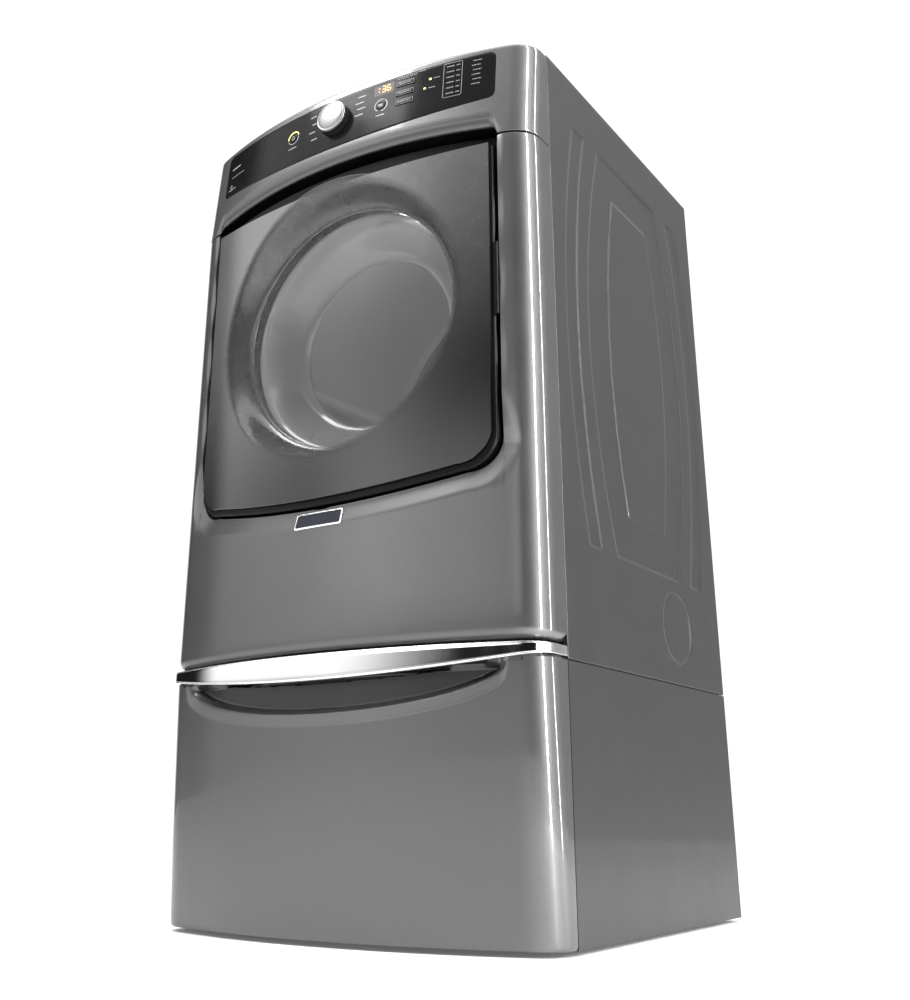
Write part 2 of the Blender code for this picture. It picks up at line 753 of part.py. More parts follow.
def build_door_glass(glass):
    return curved_plate("door_glass", columns(GLASS_HALF, DOOR_CORNER), lower_edge(GLASS_BOTTOM, GLASS_HALF),
                        glass_top, bowed_depth(DOOR_DEPTH), bowed_depth(DOOR_DEPTH - GLASS), glass)


def build_door_frame(plastic):
    """The black ring behind the glass, with the finger grip along its top edge."""
    top = upper_edge(BROW_EDGE - 0.006, DOOR_HALF, BROW_BOW, 0.012)
    frame = curved_plate("door_frame", columns(DOOR_HALF, DOOR_CORNER), lower_edge(DOOR_BOTTOM, DOOR_HALF),
                         top, bowed_depth(FRAME_FRONT), flat_depth(FRAME_BACK), plastic)
    combine(frame, door_hole("frame hole", FRAME_HOLE))
    grip = curved_plate("finger grip", columns(0.30), lambda x: glass_top(x) - 0.004, lambda x: 1.30,
                        flat_depth(0.80), bowed_depth(DOOR_DEPTH - 0.020))
    combine(frame, grip)
    pocket = box("hinge pocket", (HINGE_X - 0.012, 0.31), (HINGE_DEPTH - 0.030, HINGE_DEPTH + 0.030),
                 (HINGE_LOW - 0.014, HINGE_HIGH + 0.014))
    return combine(frame, pocket)


def door_hole(name, radius):
    return depth_rod(name, radius, (0, DRUM_Z), (0.60, 0.80), steps=40)


def build_door_liner(plastic):
    margin = 0.006
    half = DOOR_HALF - margin
    corner = DOOR_CORNER - margin
    liner = curved_plate("door_liner", columns(half, corner),
                         lower_edge(DOOR_BOTTOM + margin, half, corner=corner),
                         lambda x: BROW_EDGE - 0.018,
                         flat_depth(FRAME_BACK - GAP), flat_depth(LINER_BACK), plastic)
    return combine(liner, door_hole("liner hole", FRAME_HOLE - 0.004))


def build_door_bowl(glass):
    """The clear inner bowl that keeps the load off the outer glass."""
    flange = FRAME_BACK
    profile = [(0.2118, flange), (0.2118, 0.651), (0.203, 0.651), (0.163, 0.593), (0.148, 0.5855),
               (0, 0.584), (0, 0.580), (0.149, 0.5815), (0.166, 0.5895), (0.2065, flange)]
    return depth_turned("door_bowl", profile, (0, DRUM_Z), glass)


def build_door_seal(felt):
    inner = THROAT_RADIUS + 0.0035
    outer = inner + 0.010
    rear = PAN_DEPTH + GAP
    front = LINER_BACK - GAP
    profile = [(inner, rear), (outer, rear), (outer, front), (inner, front)]
    return depth_turned("door_seal", profile, (0, DRUM_Z), felt)


def build_latch(steel, plastic):
    """A strike on the door's free side and the catch it snaps into."""
    rear = PAN_DEPTH + GAP
    box("door_strike", (-0.262, -0.256), (rear + 0.0015, LINER_BACK - GAP), (0.930, 0.960), steel)
    catch = box("latch_catch", (-0.276, -0.250), (rear, rear + 0.0065), (0.915, 0.975), plastic)
    slot = box("catch slot", (-0.2635, -0.2525), (rear - 0.01, rear + 0.02), (0.927, 0.963))
    combine(catch, slot)


def build_hinge(steel):
    """A fixed bracket with two eyes, and the door's arm with a pin in each eye."""
    eye = 0.0042
    pin = 0.0018
    half_eye = 0.0085
    eyes = [(middle - half_eye, middle + half_eye) for middle in (HINGE_LOW, HINGE_HIGH)]
    axis = (HINGE_X, back(HINGE_DEPTH))
    wall = OPENING_HALF - GAP
    bracket = box("hinge_bracket", (wall - 0.0018, wall), (HINGE_DEPTH - 0.028, HINGE_DEPTH + 0.0005),
                  (eyes[0][0], eyes[1][1]), steel)
    for number, (low, high) in enumerate(eyes, 1):
        combine(bracket, rod(f"hinge eye {number}", eye, (*axis, low), (*axis, high)), "UNION")
        tie = box(f"hinge eye tie {number}", (HINGE_X, wall - 0.0005),
                  (HINGE_DEPTH - eye + 0.0002, HINGE_DEPTH + 0.0004), (low, high))
        combine(bracket, tie, "UNION")
    bore_ends = ((*axis, HINGE_LOW - 0.02), (*axis, HINGE_HIGH + 0.02))
    combine(bracket, rod("hinge pin bore", pin + 0.0003, *bore_ends))
    between = (eyes[0][1] + GAP, eyes[1][0] - GAP)
    arm = rod("hinge_arm", eye, (*axis, between[0]), (*axis, between[1]), steel)
    leaf_width = (HINGE_X - 0.0110, HINGE_X - 0.0002)
    leaf = box("hinge leaf", leaf_width, (HINGE_DEPTH - 0.026, HINGE_DEPTH + 0.002), between)
    combine(arm, leaf, "UNION")
    combine(arm, rod("hinge pin", pin, (*axis, eyes[0][0]), (*axis, eyes[1][1])), "UNION")


# --- drum and air path ------------------------------------------------------------------------------

DRUM_CENTRE = (0, DRUM_Z)
MOTOR_CENTRE = (MOTOR_X, MOTOR_Z)
VENT_CENTRE = (0, VENT_Z)
INNER_HALF = HALF - SKIN - 0.004    # half width of the plates between the side panels
DRUM_WALL = 0.0025
SHAFT_RADIUS = 0.006
SHAFT_FRONT = 0.520


def build_front_bulkhead(steel):
    """The plate that carries the drum's front edge, with the throat up to the door recess."""
    rear = BULKHEAD_DEPTH - SHEET
    plate = box("front_bulkhead", (-INNER_HALF, INNER_HALF), (rear, BULKHEAD_DEPTH), (0.585, 1.325), steel)
    throat_end = PAN_DEPTH - SHEET - GAP
    outer = depth_rod("throat wall", THROAT_RADIUS + THROAT_WALL, DRUM_CENTRE, (rear, throat_end), steps=40)
    inner = depth_rod("throat bore", THROAT_RADIUS + 0.0015, DRUM_CENTRE, (0.50, 0.70), steps=40)
    combine(plate, outer, "UNION")
    combine(plate, inner)
    edge = 0.0015
    slot = box("lint slot", (-0.088, 0.088), (BULKHEAD_DEPTH + edge, throat_end - edge), (0.65, 0.80))
    return combine(plate, slot)


def build_drum_seal(felt):
    """The felt ring between the bulkhead and the drum's front edge."""
    inner = 0.272
    outer = 0.300
    rear = DRUM_FRONT + GAP
    front = BULKHEAD_DEPTH - SHEET - GAP
    profile = [(inner, rear), (outer, rear), (outer, front), (inner, front)]
    return depth_turned("drum_seal", profile, DRUM_CENTRE, felt)


def build_drum(steel):
    outer = DRUM_RADIUS
    inner = DRUM_RADIUS - DRUM_WALL
    mouth = 0.268
    rear_mouth = 0.300
    profile = [(outer, DRUM_BACK), (outer, DRUM_FRONT), (mouth, DRUM_FRONT), (mouth, DRUM_FRONT - DRUM_WALL),
               (inner, DRUM_FRONT - DRUM_WALL), (inner, DRUM_BACK + DRUM_WALL),
               (rear_mouth, DRUM_BACK + DRUM_WALL), (rear_mouth, DRUM_BACK)]
    return depth_turned("drum", profile, DRUM_CENTRE, steel, steps=48)


def fin_outline(base, rise, inner):
    """Cross-section of a fin as (across, height above the drum wall) points."""
    tip = 0.010
    foot = 0.005
    drop = inner - math.sqrt(inner * inner - base * base) + 0.001
    return [(-base, drop), (-tip, rise), (tip, rise), (base, drop), (0.5 * base, foot), (-0.5 * base, foot)]


def build_fins(plastic):
    """Three lifting fins, tapered towards the door."""
    inner = DRUM_RADIUS - DRUM_WALL - GAP
    front = DRUM_FRONT - 0.025
    rear = DRUM_BACK + 0.010
    sections = ((front, 0.030, 0.020), (front - 0.030, 0.045, 0.052), (rear, 0.062, 0.080))
    for number in range(1, 4):
        angle = math.radians(120 * number - 60)
        out = Vector((math.cos(angle), 0, math.sin(angle)))
        across = Vector((-math.sin(angle), 0, math.cos(angle)))
        mesh_data = bmesh.new()
        rings = []
        for depth, base, rise in sections:
            centre = Vector((0, back(depth), DRUM_Z))
            rings.append([mesh_data.verts.new(centre + out * (inner - height) + across * shift)
                          for shift, height in fin_outline(base, rise, inner)])
        for first, second in zip(rings, rings[1:]):
            for i in range(len(first)):
                mesh_data.faces.new((first[i - 1], first[i], second[i], second[i - 1]))
        mesh_data.faces.new(rings[0])
        mesh_data.faces.new(rings[-1])
        finish_mesh(f"drum_fin_{number}", mesh_data, plastic)


def roller_place(side):
    """Centre of a drum roller in x and z."""
    reach = DRUM_RADIUS + 0.0003 + ROLLER_RADIUS
    return side * reach * math.sin(ROLLER_ANGLE), DRUM_Z - reach * math.cos(ROLLER_ANGLE)


def build_rear_bulkhead(steel):
    """The plate behind the drum: its dished face, air inlet holes and two roller studs."""
    low = REAR_BULKHEAD
    wall = 0.004
    outside = [(0, low + 0.001), (0.292, low + 0.001), (0.292, 0.080), (0.280, 0.088),
               (0.150, 0.088), (0.140, 0.100), (0, 0.100)]
    hollow = [(0, 0.05), (0.287, 0.05), (0.287, 0.078), (0.278, 0.088 - wall),
              (0.147, 0.088 - wall), (0.137, 0.100 - wall), (0, 0.100 - wall)]
    plate = box("rear_bulkhead", (-INNER_HALF, INNER_HALF), (low, low + SHEET), (0.560, 1.325), steel)
    combine(plate, depth_turned("rear dish", outside, DRUM_CENTRE, steps=40), "UNION")
    combine(plate, depth_turned("rear dish hollow", hollow, DRUM_CENTRE, steps=40))
    circle = 0.215
    for number in range(8):
        angle = math.radians(27 + 18 * number)
        centre = (circle * math.cos(angle), DRUM_Z + circle * math.sin(angle))
        combine(plate, depth_rod(f"air hole {number}", 0.018, centre, (0.05, 0.11), steps=8))
    for side in (1, -1):
        stud = depth_rod(f"roller stud {side}", SHAFT_RADIUS, roller_place(side), (low + 0.001, 0.128))
        combine(plate, stud, "UNION")
    return plate


def build_rollers(rubber):
    bore = SHAFT_RADIUS + 0.0004
    hub = 0.014
    rim = ROLLER_RADIUS - 0.001
    profile = [(bore, 0.100), (bore, 0.122), (hub, 0.122), (hub, 0.120), (rim, 0.120), (ROLLER_RADIUS, 0.119),
               (ROLLER_RADIUS, 0.103), (rim, 0.102), (hub, 0.102), (hub, 0.100)]
    for side, label in ((1, "right"), (-1, "left")):
        depth_turned(f"drum_roller_{label}", profile, roller_place(side), rubber, steps=16)


def belt_geometry():
    """Direction from the drum to the motor, and the angle from it to where the belt leaves."""
    span = Vector((MOTOR_X, MOTOR_Z - DRUM_Z))
    lean = math.atan2(span.y, span.x)
    spread = math.acos((DRUM_RADIUS - PULLEY_RADIUS) / span.length)
    return lean, spread


def belt_arc(centre, radius, start, sweep, steps):
    x, z = centre
    angles = [start + sweep * step / steps for step in range(steps + 1)]
    return [(x + radius * math.cos(angle), z + radius * math.sin(angle)) for angle in angles]


def belt_path(offset):
    """The closed belt loop in x and z, a distance outside the drum and the motor pulley."""
    lean, spread = belt_geometry()
    round_drum = belt_arc(DRUM_CENTRE, DRUM_RADIUS + offset, lean + spread, math.tau - 2 * spread, 40)
    round_pulley = belt_arc(MOTOR_CENTRE, PULLEY_RADIUS + offset, lean - spread, 2 * spread, 6)
    return round_drum + round_pulley


BELT_CLEARANCE = 2.2 * GAP      # keeps the belt's straight facets clear of the drum's


def build_belt(rubber):
    mesh_data = bmesh.new()
    rings = []
    for depth in (BELT_DEPTH - BELT_WIDTH / 2, BELT_DEPTH + BELT_WIDTH / 2):
        for offset in (BELT_CLEARANCE, BELT_CLEARANCE + BELT_THICKNESS):
            rings.append([mesh_data.verts.new((x, back(depth), z)) for x, z in belt_path(offset)])
    for first, second in ((0, 1), (1, 3), (3, 2), (2, 0)):
        near = rings[first]
        far = rings[second]
        for i in range(len(near)):
            mesh_data.faces.new((near[i - 1], near[i], far[i], far[i - 1]))
    return finish_mesh("drive_belt", mesh_data, rubber)


def build_motor(steel, plastic):
    """The motor body, and its shaft with the belt pulley and the blower wheel."""
    bore = SHAFT_RADIUS + GAP
    body = [(bore, 0.330), (0.030, 0.330), (0.058, 0.340), (0.058, 0.430), (0.030, 0.440), (bore, 0.440)]
    motor = depth_turned("motor", body, MOTOR_CENTRE, steel, steps=24)
    base = PEDESTAL_TOP + GAP + SHEET + GAP
    foot = box("motor foot", (MOTOR_X - 0.035, MOTOR_X + 0.035), (0.345, 0.425), (base, MOTOR_Z - 0.030))
    combine(motor, foot, "UNION")
    flange = PULLEY_RADIUS + 0.004
    groove = BELT_WIDTH / 2 + 0.002
    cheek = groove + 0.002
    shaft = [(0, BELT_DEPTH - cheek), (flange, BELT_DEPTH - cheek), (flange, BELT_DEPTH - groove),
             (PULLEY_RADIUS, BELT_DEPTH - groove), (PULLEY_RADIUS, BELT_DEPTH + groove),
             (flange, BELT_DEPTH + groove), (flange, BELT_DEPTH + cheek), (SHAFT_RADIUS, BELT_DEPTH + cheek),
             (SHAFT_RADIUS, SHAFT_FRONT), (0, SHAFT_FRONT)]
    depth_turned("motor_pulley", shaft, MOTOR_CENTRE, steel, steps=20)
    wheel = [(bore, 0.468), (0.070, 0.468), (0.070, SHAFT_FRONT), (0.055, SHAFT_FRONT), (0.055, 0.474),
             (0.020, 0.474), (0.015, 0.515), (bore, 0.515)]
    depth_turned("blower_wheel", wheel, MOTOR_CENTRE, plastic, steps=24)


def idler_places():
    """Centre of the idler pulley on the slack side of the belt, and the pivot of its arm."""
    lean, spread = belt_geometry()
    normal = Vector((math.cos(lean + spread), math.sin(lean + spread)))
    along = Vector((-normal.y, normal.x))
    touch = Vector(MOTOR_CENTRE) + normal * PULLEY_RADIUS
    outside = BELT_CLEARANCE + BELT_THICKNESS + 0.0004 + IDLER_RADIUS
    centre = touch + along * 0.110 + normal * outside
    pivot = Vector((centre.x + 0.045, 0.402))
    return centre, pivot


def build_idler(steel, plastic):
    """The spring arm and the small pulley that rests against the slack side of the belt."""
    centre, pivot = idler_places()
    pin = 0.004
    bore = pin + 0.0003
    half_width = 0.008
    profile = [(bore, 0.294), (IDLER_RADIUS, 0.294), (IDLER_RADIUS, 0.306), (bore, 0.306)]
    depth_turned("idler_pulley", profile, centre, plastic, steps=24)
    arm = depth_rod("idler_arm", pin, centre, (0.314, 0.2925), steel)
    run = (pivot - centre).normalized() * half_width
    side = Vector((-run.y, run.x))
    outline = [centre - run + side, pivot + run + side, pivot + run - side, centre - run - side]
    bar = prism("idler bar", [(point.x, back(0.308), point.y) for point in outline], (0, -0.005, 0))
    combine(arm, bar, "UNION")
    combine(arm, depth_rod("idler pivot bore", bore, pivot, (0.28, 0.33)))
    base = PEDESTAL_TOP + GAP + SHEET + GAP
    bracket = box("idler_bracket", (pivot.x - 0.014, pivot.x + 0.014), (0.3145, 0.318),
                  (base, pivot.y + 0.012), steel)
    combine(bracket, depth_rod("idler pivot pin", pin, pivot, (0.3165, 0.304)), "UNION")


DUCT_REAR = BULKHEAD_DEPTH + GAP
DUCT_FRONT = PAN_DEPTH - SHEET - GAP
SCREEN_FOOT = 0.600


def build_lint_duct(plastic):
    """The duct that leads from the door opening down and across to the blower."""
    top = DRUM_Z - THROAT_RADIUS - THROAT_WALL - 2 * GAP
    wall = 0.003
    depths = (DUCT_REAR + wall, DUCT_FRONT - wall)
    housing = box("lint_duct", (-0.092, 0.200), (DUCT_REAR, DUCT_FRONT), (0.420, top), plastic)
    combine(housing, box("duct corner", (0.0925, 0.30), (0.5, 0.7), (0.560, 0.80)))
    combine(housing, box("duct hollow", (-0.0885, 0.0885), depths, (0.440, 0.80)))
    combine(housing, box("duct hollow low", (0.03, 0.196), depths, (0.424, 0.556)))
    return combine(housing, depth_rod("duct outlet", 0.050, MOTOR_CENTRE, (0.59, 0.615)))


def build_lint_screen(mesh_grey):
    """The screen that lifts out of the duct through the throat below the door."""
    top = DRUM_Z - THROAT_RADIUS + 0.0015
    screen = box("lint_screen", (-0.084, 0.084), (DUCT_REAR + 0.005, DUCT_FRONT - 0.005),
                 (SCREEN_FOOT, top), mesh_grey)
    pocket = box("screen hollow", (-0.078, 0.078), (DUCT_REAR + 0.008, DUCT_FRONT - 0.008),
                 (SCREEN_FOOT - 0.01, top - 0.0105))
    return combine(screen, pocket)


BLOWER_REAR = 0.455
BLOWER_FRONT = 0.545


def build_blower(plastic):
    """The scroll round the blower wheel, opening into the lint duct and the exhaust pipe."""
    wall = 0.004
    depths = (BLOWER_REAR, BLOWER_FRONT)
    inside = (BLOWER_REAR + wall, BLOWER_FRONT - wall)
    half = 0.056
    housing = depth_rod("blower_housing", 0.086, MOTOR_CENTRE, depths, plastic, 32)
    outlet = box("blower outlet", (-half, MOTOR_X), depths, (VENT_Z - half, VENT_Z + half))
    pipe = (BLOWER_FRONT - 0.01, BULKHEAD_DEPTH)
    inlet = depth_rod("blower inlet pipe", 0.050, MOTOR_CENTRE, pipe, steps=32)
    combine(housing, outlet, "UNION")
    combine(housing, inlet, "UNION")
    combine(housing, depth_rod("scroll hollow", 0.082, MOTOR_CENTRE, inside, steps=32))
    combine(housing, box("outlet hollow", (-half + wall, MOTOR_X), inside,
                         (VENT_Z - half + wall, VENT_Z + half - wall)))
    combine(housing, depth_rod("inlet hollow", 0.046, MOTOR_CENTRE, (BLOWER_FRONT - 0.02, 0.61), steps=32))
    rear_wall = (BLOWER_REAR - 0.015, BLOWER_REAR + 0.015)
    combine(housing, depth_rod("shaft hole", 0.0085, MOTOR_CENTRE, rear_wall))
    return combine(housing, depth_rod("outlet hole", VENT_RADIUS - 0.002, VENT_CENTRE, rear_wall, steps=32))


def build_exhaust(steel):
    wall = 0.002
    front = BLOWER_REAR - GAP
    bore = VENT_RADIUS - wall
    profile = [(VENT_RADIUS, 0.0), (VENT_RADIUS, front), (bore, front), (bore, 0.0)]
    return depth_turned("exhaust_pipe", profile, VENT_CENTRE, steel, steps=32)


def build_heater(steel):
    heater = box("heater_box", (0.160, 0.280), (0.0175, 0.0585), (0.62, 1.06), steel)
    bevel(heater, 0.006, 1)
    return heater


# --- joints ----------------------------------------------------------------------------------------

def put_origins_on_joints():
    """Move each moving piece's origin onto the axis it turns about or slides along."""
    hinge = (HINGE_X, back(HINGE_DEPTH), (HINGE_LOW + HINGE_HIGH) / 2)
    drum_middle = (0, back((DRUM_FRONT + DRUM_BACK) / 2), DRUM_Z)
    rail_middle = (0, back(SIDE_DEPTH / 2), RAIL_Z)
    idler, pivot = idler_places()
    points = {
        "lint_screen": (0, back((DUCT_REAR + DUCT_FRONT) / 2), SCREEN_FOOT),
        "idler_pulley": (idler.x, back(BELT_DEPTH), idler.y),
        "idler_arm": (pivot.x, back(BELT_DEPTH), pivot.y),
        "motor_pulley": (MOTOR_X, back(BELT_DEPTH), MOTOR_Z),
        "blower_wheel": (MOTOR_X, back(0.495), MOTOR_Z),
    }
    for name in ("frame", "glass", "liner", "bowl", "seal", "strike"):
        points[f"door_{name}"] = hinge
    points["hinge_arm"] = hinge
    for name in ("drum", "drum_fin_1", "drum_fin_2", "drum_fin_3"):
        points[name] = drum_middle
    for name in ("drawer_front", "drawer_trim", "drawer_box", "rail_inner_left", "rail_inner_right"):
        points[name] = rail_middle
    for side, label in ((1, "right"), (-1, "left")):
        x, z = roller_place(side)
        points[f"drum_roller_{label}"] = (x, back(0.111), z)
    for name, point in points.items():
        set_origin(bpy.data.objects[name], point)


def build_all():
    clear_scene()
    paint = make_material("metallic grey paint", (0.30, 0.30, 0.30), 0.55, 0.32)
    trim_paint = make_material("grey console moulding", (0.32, 0.32, 0.32), 0.45, 0.30)
    black = make_material("black gloss plastic", (0.02, 0.02, 0.022), 0.0, 0.12)
    dark = make_material("dark satin plastic", (0.05, 0.05, 0.055), 0.0, 0.45)
    pale = make_material("pale grey plastic", (0.55, 0.56, 0.57), 0.0, 0.50)
    chrome = make_material("chrome", (0.85, 0.85, 0.86), 1.0, 0.06)
    steel = make_material("galvanised steel", (0.55, 0.56, 0.57), 0.9, 0.42)
    drum_steel = make_material("drum finish", (0.62, 0.62, 0.63), 0.6, 0.35)
    glass = make_material("smoked glass", (0.25, 0.26, 0.27), 0.0, 0.05)
    rubber = make_material("black rubber", (0.03, 0.03, 0.03), 0.0, 0.80)
    felt = make_material("grey felt", (0.28, 0.27, 0.25), 0.0, 0.95)
    lens = make_material("amber display lens", (0.06, 0.03, 0.01), 0.0, 0.10)

    build_pedestal_cabinet(paint)
    build_feet(rubber)
    build_rails(steel)
    build_drawer_box(dark)
    build_drawer_front(paint)
    build_drawer_trim(chrome)
    build_base_pan(steel)
    build_side_panel(1, "right", paint)
    build_side_panel(-1, "left", paint)
    build_top_panel(paint)
    build_rear_panel(steel)
    build_terminal_cover(steel)
    build_front_panel(paint)
    build_console(trim_paint)
    build_controls(black, chrome, lens)
    build_badge(steel)
    build_door_glass(glass)
    build_door_frame(black)
    build_door_liner(pale)
    build_door_bowl(glass)
    build_door_seal(felt)
    build_latch(steel, pale)
    build_hinge(steel)
    build_front_bulkhead(pale)
    build_drum_seal(felt)
    build_drum(drum_steel)
    build_fins(pale)
    build_rear_bulkhead(drum_steel)
    build_rollers(rubber)
    build_belt(rubber)
    build_motor(steel, dark)
    build_idler(steel, dark)
    build_lint_duct(dark)
    build_lint_screen(pale)
    build_blower(dark)
    build_exhaust(steel)
    build_heater(steel)
    put_origins_on_joints()


build_all()
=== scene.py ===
import json
import math

import bmesh
import bpy
from mathutils import Matrix, Vector


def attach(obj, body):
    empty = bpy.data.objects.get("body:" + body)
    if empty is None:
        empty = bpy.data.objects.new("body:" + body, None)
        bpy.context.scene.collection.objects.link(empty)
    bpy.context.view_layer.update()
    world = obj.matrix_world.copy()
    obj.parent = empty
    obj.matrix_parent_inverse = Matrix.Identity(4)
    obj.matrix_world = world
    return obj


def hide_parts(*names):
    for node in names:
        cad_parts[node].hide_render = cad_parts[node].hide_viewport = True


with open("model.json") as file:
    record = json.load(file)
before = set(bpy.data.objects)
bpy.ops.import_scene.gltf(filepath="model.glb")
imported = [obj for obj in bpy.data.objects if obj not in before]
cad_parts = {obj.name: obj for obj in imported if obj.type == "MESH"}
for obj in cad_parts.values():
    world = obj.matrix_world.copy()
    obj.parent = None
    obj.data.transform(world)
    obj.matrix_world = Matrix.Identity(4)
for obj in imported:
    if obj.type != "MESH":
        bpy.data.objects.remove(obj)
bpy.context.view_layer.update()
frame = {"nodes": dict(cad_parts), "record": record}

# The looks of the front-load laundry machine, built round the CAD frame. Metres; +X is to the
# right seen from the front, -Y is the front, +Z is up. Depths are measured forwards from the
# back plane.

WIDTH = 0.700
HEIGHT = 1.360
DEPTH = 0.737
HALF = WIDTH / 2
BACK = DEPTH / 2

SIDE_DEPTH = 0.603
BOW_RADIUS = 1.000
CORNER_RADIUS = 0.050
PEDESTAL_TOP = 0.370
TRIM_TOP = 0.3885
TRIM_DEPTH = 0.735
FRONT_BOTTOM = 0.3925
FRONT_DEPTH = 0.727
SEAM = 1.184
CONSOLE_DEPTH = 0.728
CONSOLE_SLOPE = 0.016 / (HEIGHT - SEAM)
DRAWER_FOOT_DEPTH = 0.706
DRAWER_DEPTH = 0.727
FOOT_HEIGHT = 0.006
PAN_DEPTH = 0.634                # the flat face behind the door

OPENING_HALF = 0.299
OPENING_BOTTOM = 0.607
DOOR_CORNER = 0.055
EDGE_BOW = 0.40
BROW_EDGE = 1.206
BROW_BOW = -0.10
BROW_CORNER = 0.018
DOOR_HALF = 0.291
DOOR_BOTTOM = 0.613
DOOR_DEPTH = 0.730
GLASS_HALF = 0.286
GLASS_BOTTOM = 0.623
GLASS_TOP = 1.160
GLASS_TOP_BOW = 0.10
GLASS_THICKNESS = 0.005
DRUM_Z = 0.930
DRUM_RADIUS = 0.322
WINDOW_RADIUS = 0.208
WINDOW_DEPTH = 0.667
DISH_RADIUS = 0.246

PANEL_HALF = 0.294
PANEL_CORNER = 0.012
PANEL_BOTTOM = 1.240
PANEL_LOWER_BOW = 0.19
PANEL_TOP = 1.343
PANEL_UPPER_BOW = 0.07
KNOB_PLACE = (0.0, 1.298)
POWER_PLACE = (-0.098, 1.300)
START_PLACE = (0.094, 1.295)
OPTION_X = 0.139
OPTION_HEIGHTS = (1.326, 1.307, 1.288)
DISPLAY_PLACE = (0.097, 1.328)
KNOB_RADIUS = 0.031
BUTTON_RADIUS = 0.0085
OPTION_SIZE = (0.034, 0.0105)
DISPLAY_SIZE = (0.040, 0.022)
KEY_GAP = 0.0003

PRESS_CENTRE = 0.297
PRESS_Z = 0.907
PRESS_HALF = 0.360


def back(depth):
    return BACK - depth


def spot(x, depth, z):
    """A point at a depth measured forwards from the back plane."""
    return Vector((x, back(depth), z))


# --- materials --------------------------------------------------------------------------------

def grey(value):
    return (value, value, value)


def join(tree, value, socket):
    """Link another node's output to a socket, or set the socket to a plain value."""
    if isinstance(value, bpy.types.NodeSocket):
        tree.links.new(value, socket)
    else:
        socket.default_value = value


def feed(tree, node, **inputs):
    """Fill a node's named inputs; an underscore stands for a space in the name."""
    for name, value in inputs.items():
        join(tree, value, node.inputs[name.replace("_", " ")])
    return node


def add_node(tree, kind, **inputs):
    return feed(tree, tree.nodes.new("ShaderNode" + kind), **inputs)


def calculate(tree, operation, *values):
    node = add_node(tree, "Math")
    node.operation = operation
    for value, socket in zip(values, node.inputs):
        join(tree, value, socket)
    return node.outputs["Value"]


def map_range(tree, value, low, high, first=0.0, second=1.0, soft=False):
    """Carry a value from the range low to high over to the range first to second."""
    node = add_node(tree, "MapRange", Value=value, From_Min=low, From_Max=high,
                    To_Min=first, To_Max=second)
    if soft:
        node.interpolation_type = "SMOOTHSTEP"
    return node.outputs["Result"]


def node_setup(name):
    material = bpy.data.materials.new(name)
    material.use_nodes = True
    tree = material.node_tree
    coords = add_node(tree, "TexCoord").outputs["Object"]
    return material, tree, tree.nodes["Principled BSDF"], coords


def noise(tree, coords, scale, detail=3.0, stretch=None):
    """A noise value over object coordinates; stretch squeezes it along one or two axes."""
    if stretch is not None:
        coords = add_node(tree, "Mapping", Vector=coords, Scale=stretch).outputs["Vector"]
    return add_node(tree, "TexNoise", Vector=coords, Scale=scale, Detail=detail).outputs["Fac"]


def remap(tree, value, low, high):
    """Spread the usual values of a noise over a new range."""
    return map_range(tree, value, 0.3, 0.7, low, high)


def cell_values(tree, coords, scale):
    """A random value for each small cell of the surface."""
    cells = add_node(tree, "TexVoronoi", Vector=coords, Scale=scale)
    return add_node(tree, "SeparateColor", Color=cells.outputs["Color"]).outputs["Red"]


def blend_colours(tree, value, first, second):
    mix = tree.nodes.new("ShaderNodeMix")
    mix.data_type = "RGBA"
    feed(tree, mix, Factor=value, A=(*first, 1.0), B=(*second, 1.0))
    return mix.outputs["Result"]


def shades(tree, value, colour, low, high):
    """From a low share of the colour to a high share as the value goes from 0 to 1."""
    dark = [channel * low for channel in colour]
    light = [channel * high for channel in colour]
    return blend_colours(tree, value, dark, light)


def add_bump(tree, shader, value, strength, distance):
    bump = add_node(tree, "Bump", Height=value, Strength=strength, Distance=distance)
    feed(tree, shader, Normal=bump.outputs["Normal"])


def surface(name, colour, vary, roughness, metallic=0.0, grain=400.0, bump=0.05, depth=0.0003,
            stretch=None, coat=0.0, specular=0.5):
    """A base with slow colour variation, uneven gloss and a fine raised grain."""
    material, tree, shader, coords = node_setup(name)
    slow = remap(tree, noise(tree, coords, 9.0), 0.0, 1.0)
    uneven = remap(tree, noise(tree, coords, 30.0, stretch=stretch), *roughness)
    feed(tree, shader, Base_Color=shades(tree, slow, colour, 1.0 - vary, 1.0 + vary), Metallic=metallic,
         Roughness=uneven, Specular_IOR_Level=specular, Coat_Weight=coat, Coat_Roughness=0.05)
    add_bump(tree, shader, noise(tree, coords, grain, stretch=stretch), bump, depth)
    return material


def metallic_paint(name, colour, corner_gloss=0.25):
    """Metallic lacquer: tiny flakes under a clear coat, polished up round the front corners."""
    material, tree, shader, coords = node_setup(name)
    split = add_node(tree, "SeparateXYZ", Vector=coords)
    aside = calculate(tree, "ABSOLUTE", split.outputs["X"])
    gloss = map_range(tree, aside, OPENING_HALF, OPENING_HALF + 0.035, 0.25, corner_gloss, soft=True)
    feed(tree, shader, Base_Color=shades(tree, cell_values(tree, coords, 1400.0), colour, 0.93, 1.07),
         Metallic=0.8, Roughness=remap(tree, noise(tree, coords, 14.0), 0.38, 0.44),
         Coat_Weight=gloss, Coat_IOR=1.8, Coat_Roughness=0.05)
    add_bump(tree, shader, noise(tree, coords, 260.0, 1.0), 0.01, 0.0002)
    return material


def galvanised(name, colour):
    """Zinc-coated sheet with its crystal spangle."""
    material, tree, shader, coords = node_setup(name)
    spangle = cell_values(tree, coords, 160.0)
    feed(tree, shader, Base_Color=shades(tree, spangle, colour, 0.80, 1.0), Metallic=0.9,
         Roughness=map_range(tree, spangle, 0.0, 1.0, 0.32, 0.50))
    add_bump(tree, shader, noise(tree, coords, 600.0), 0.05, 0.0002)
    return material


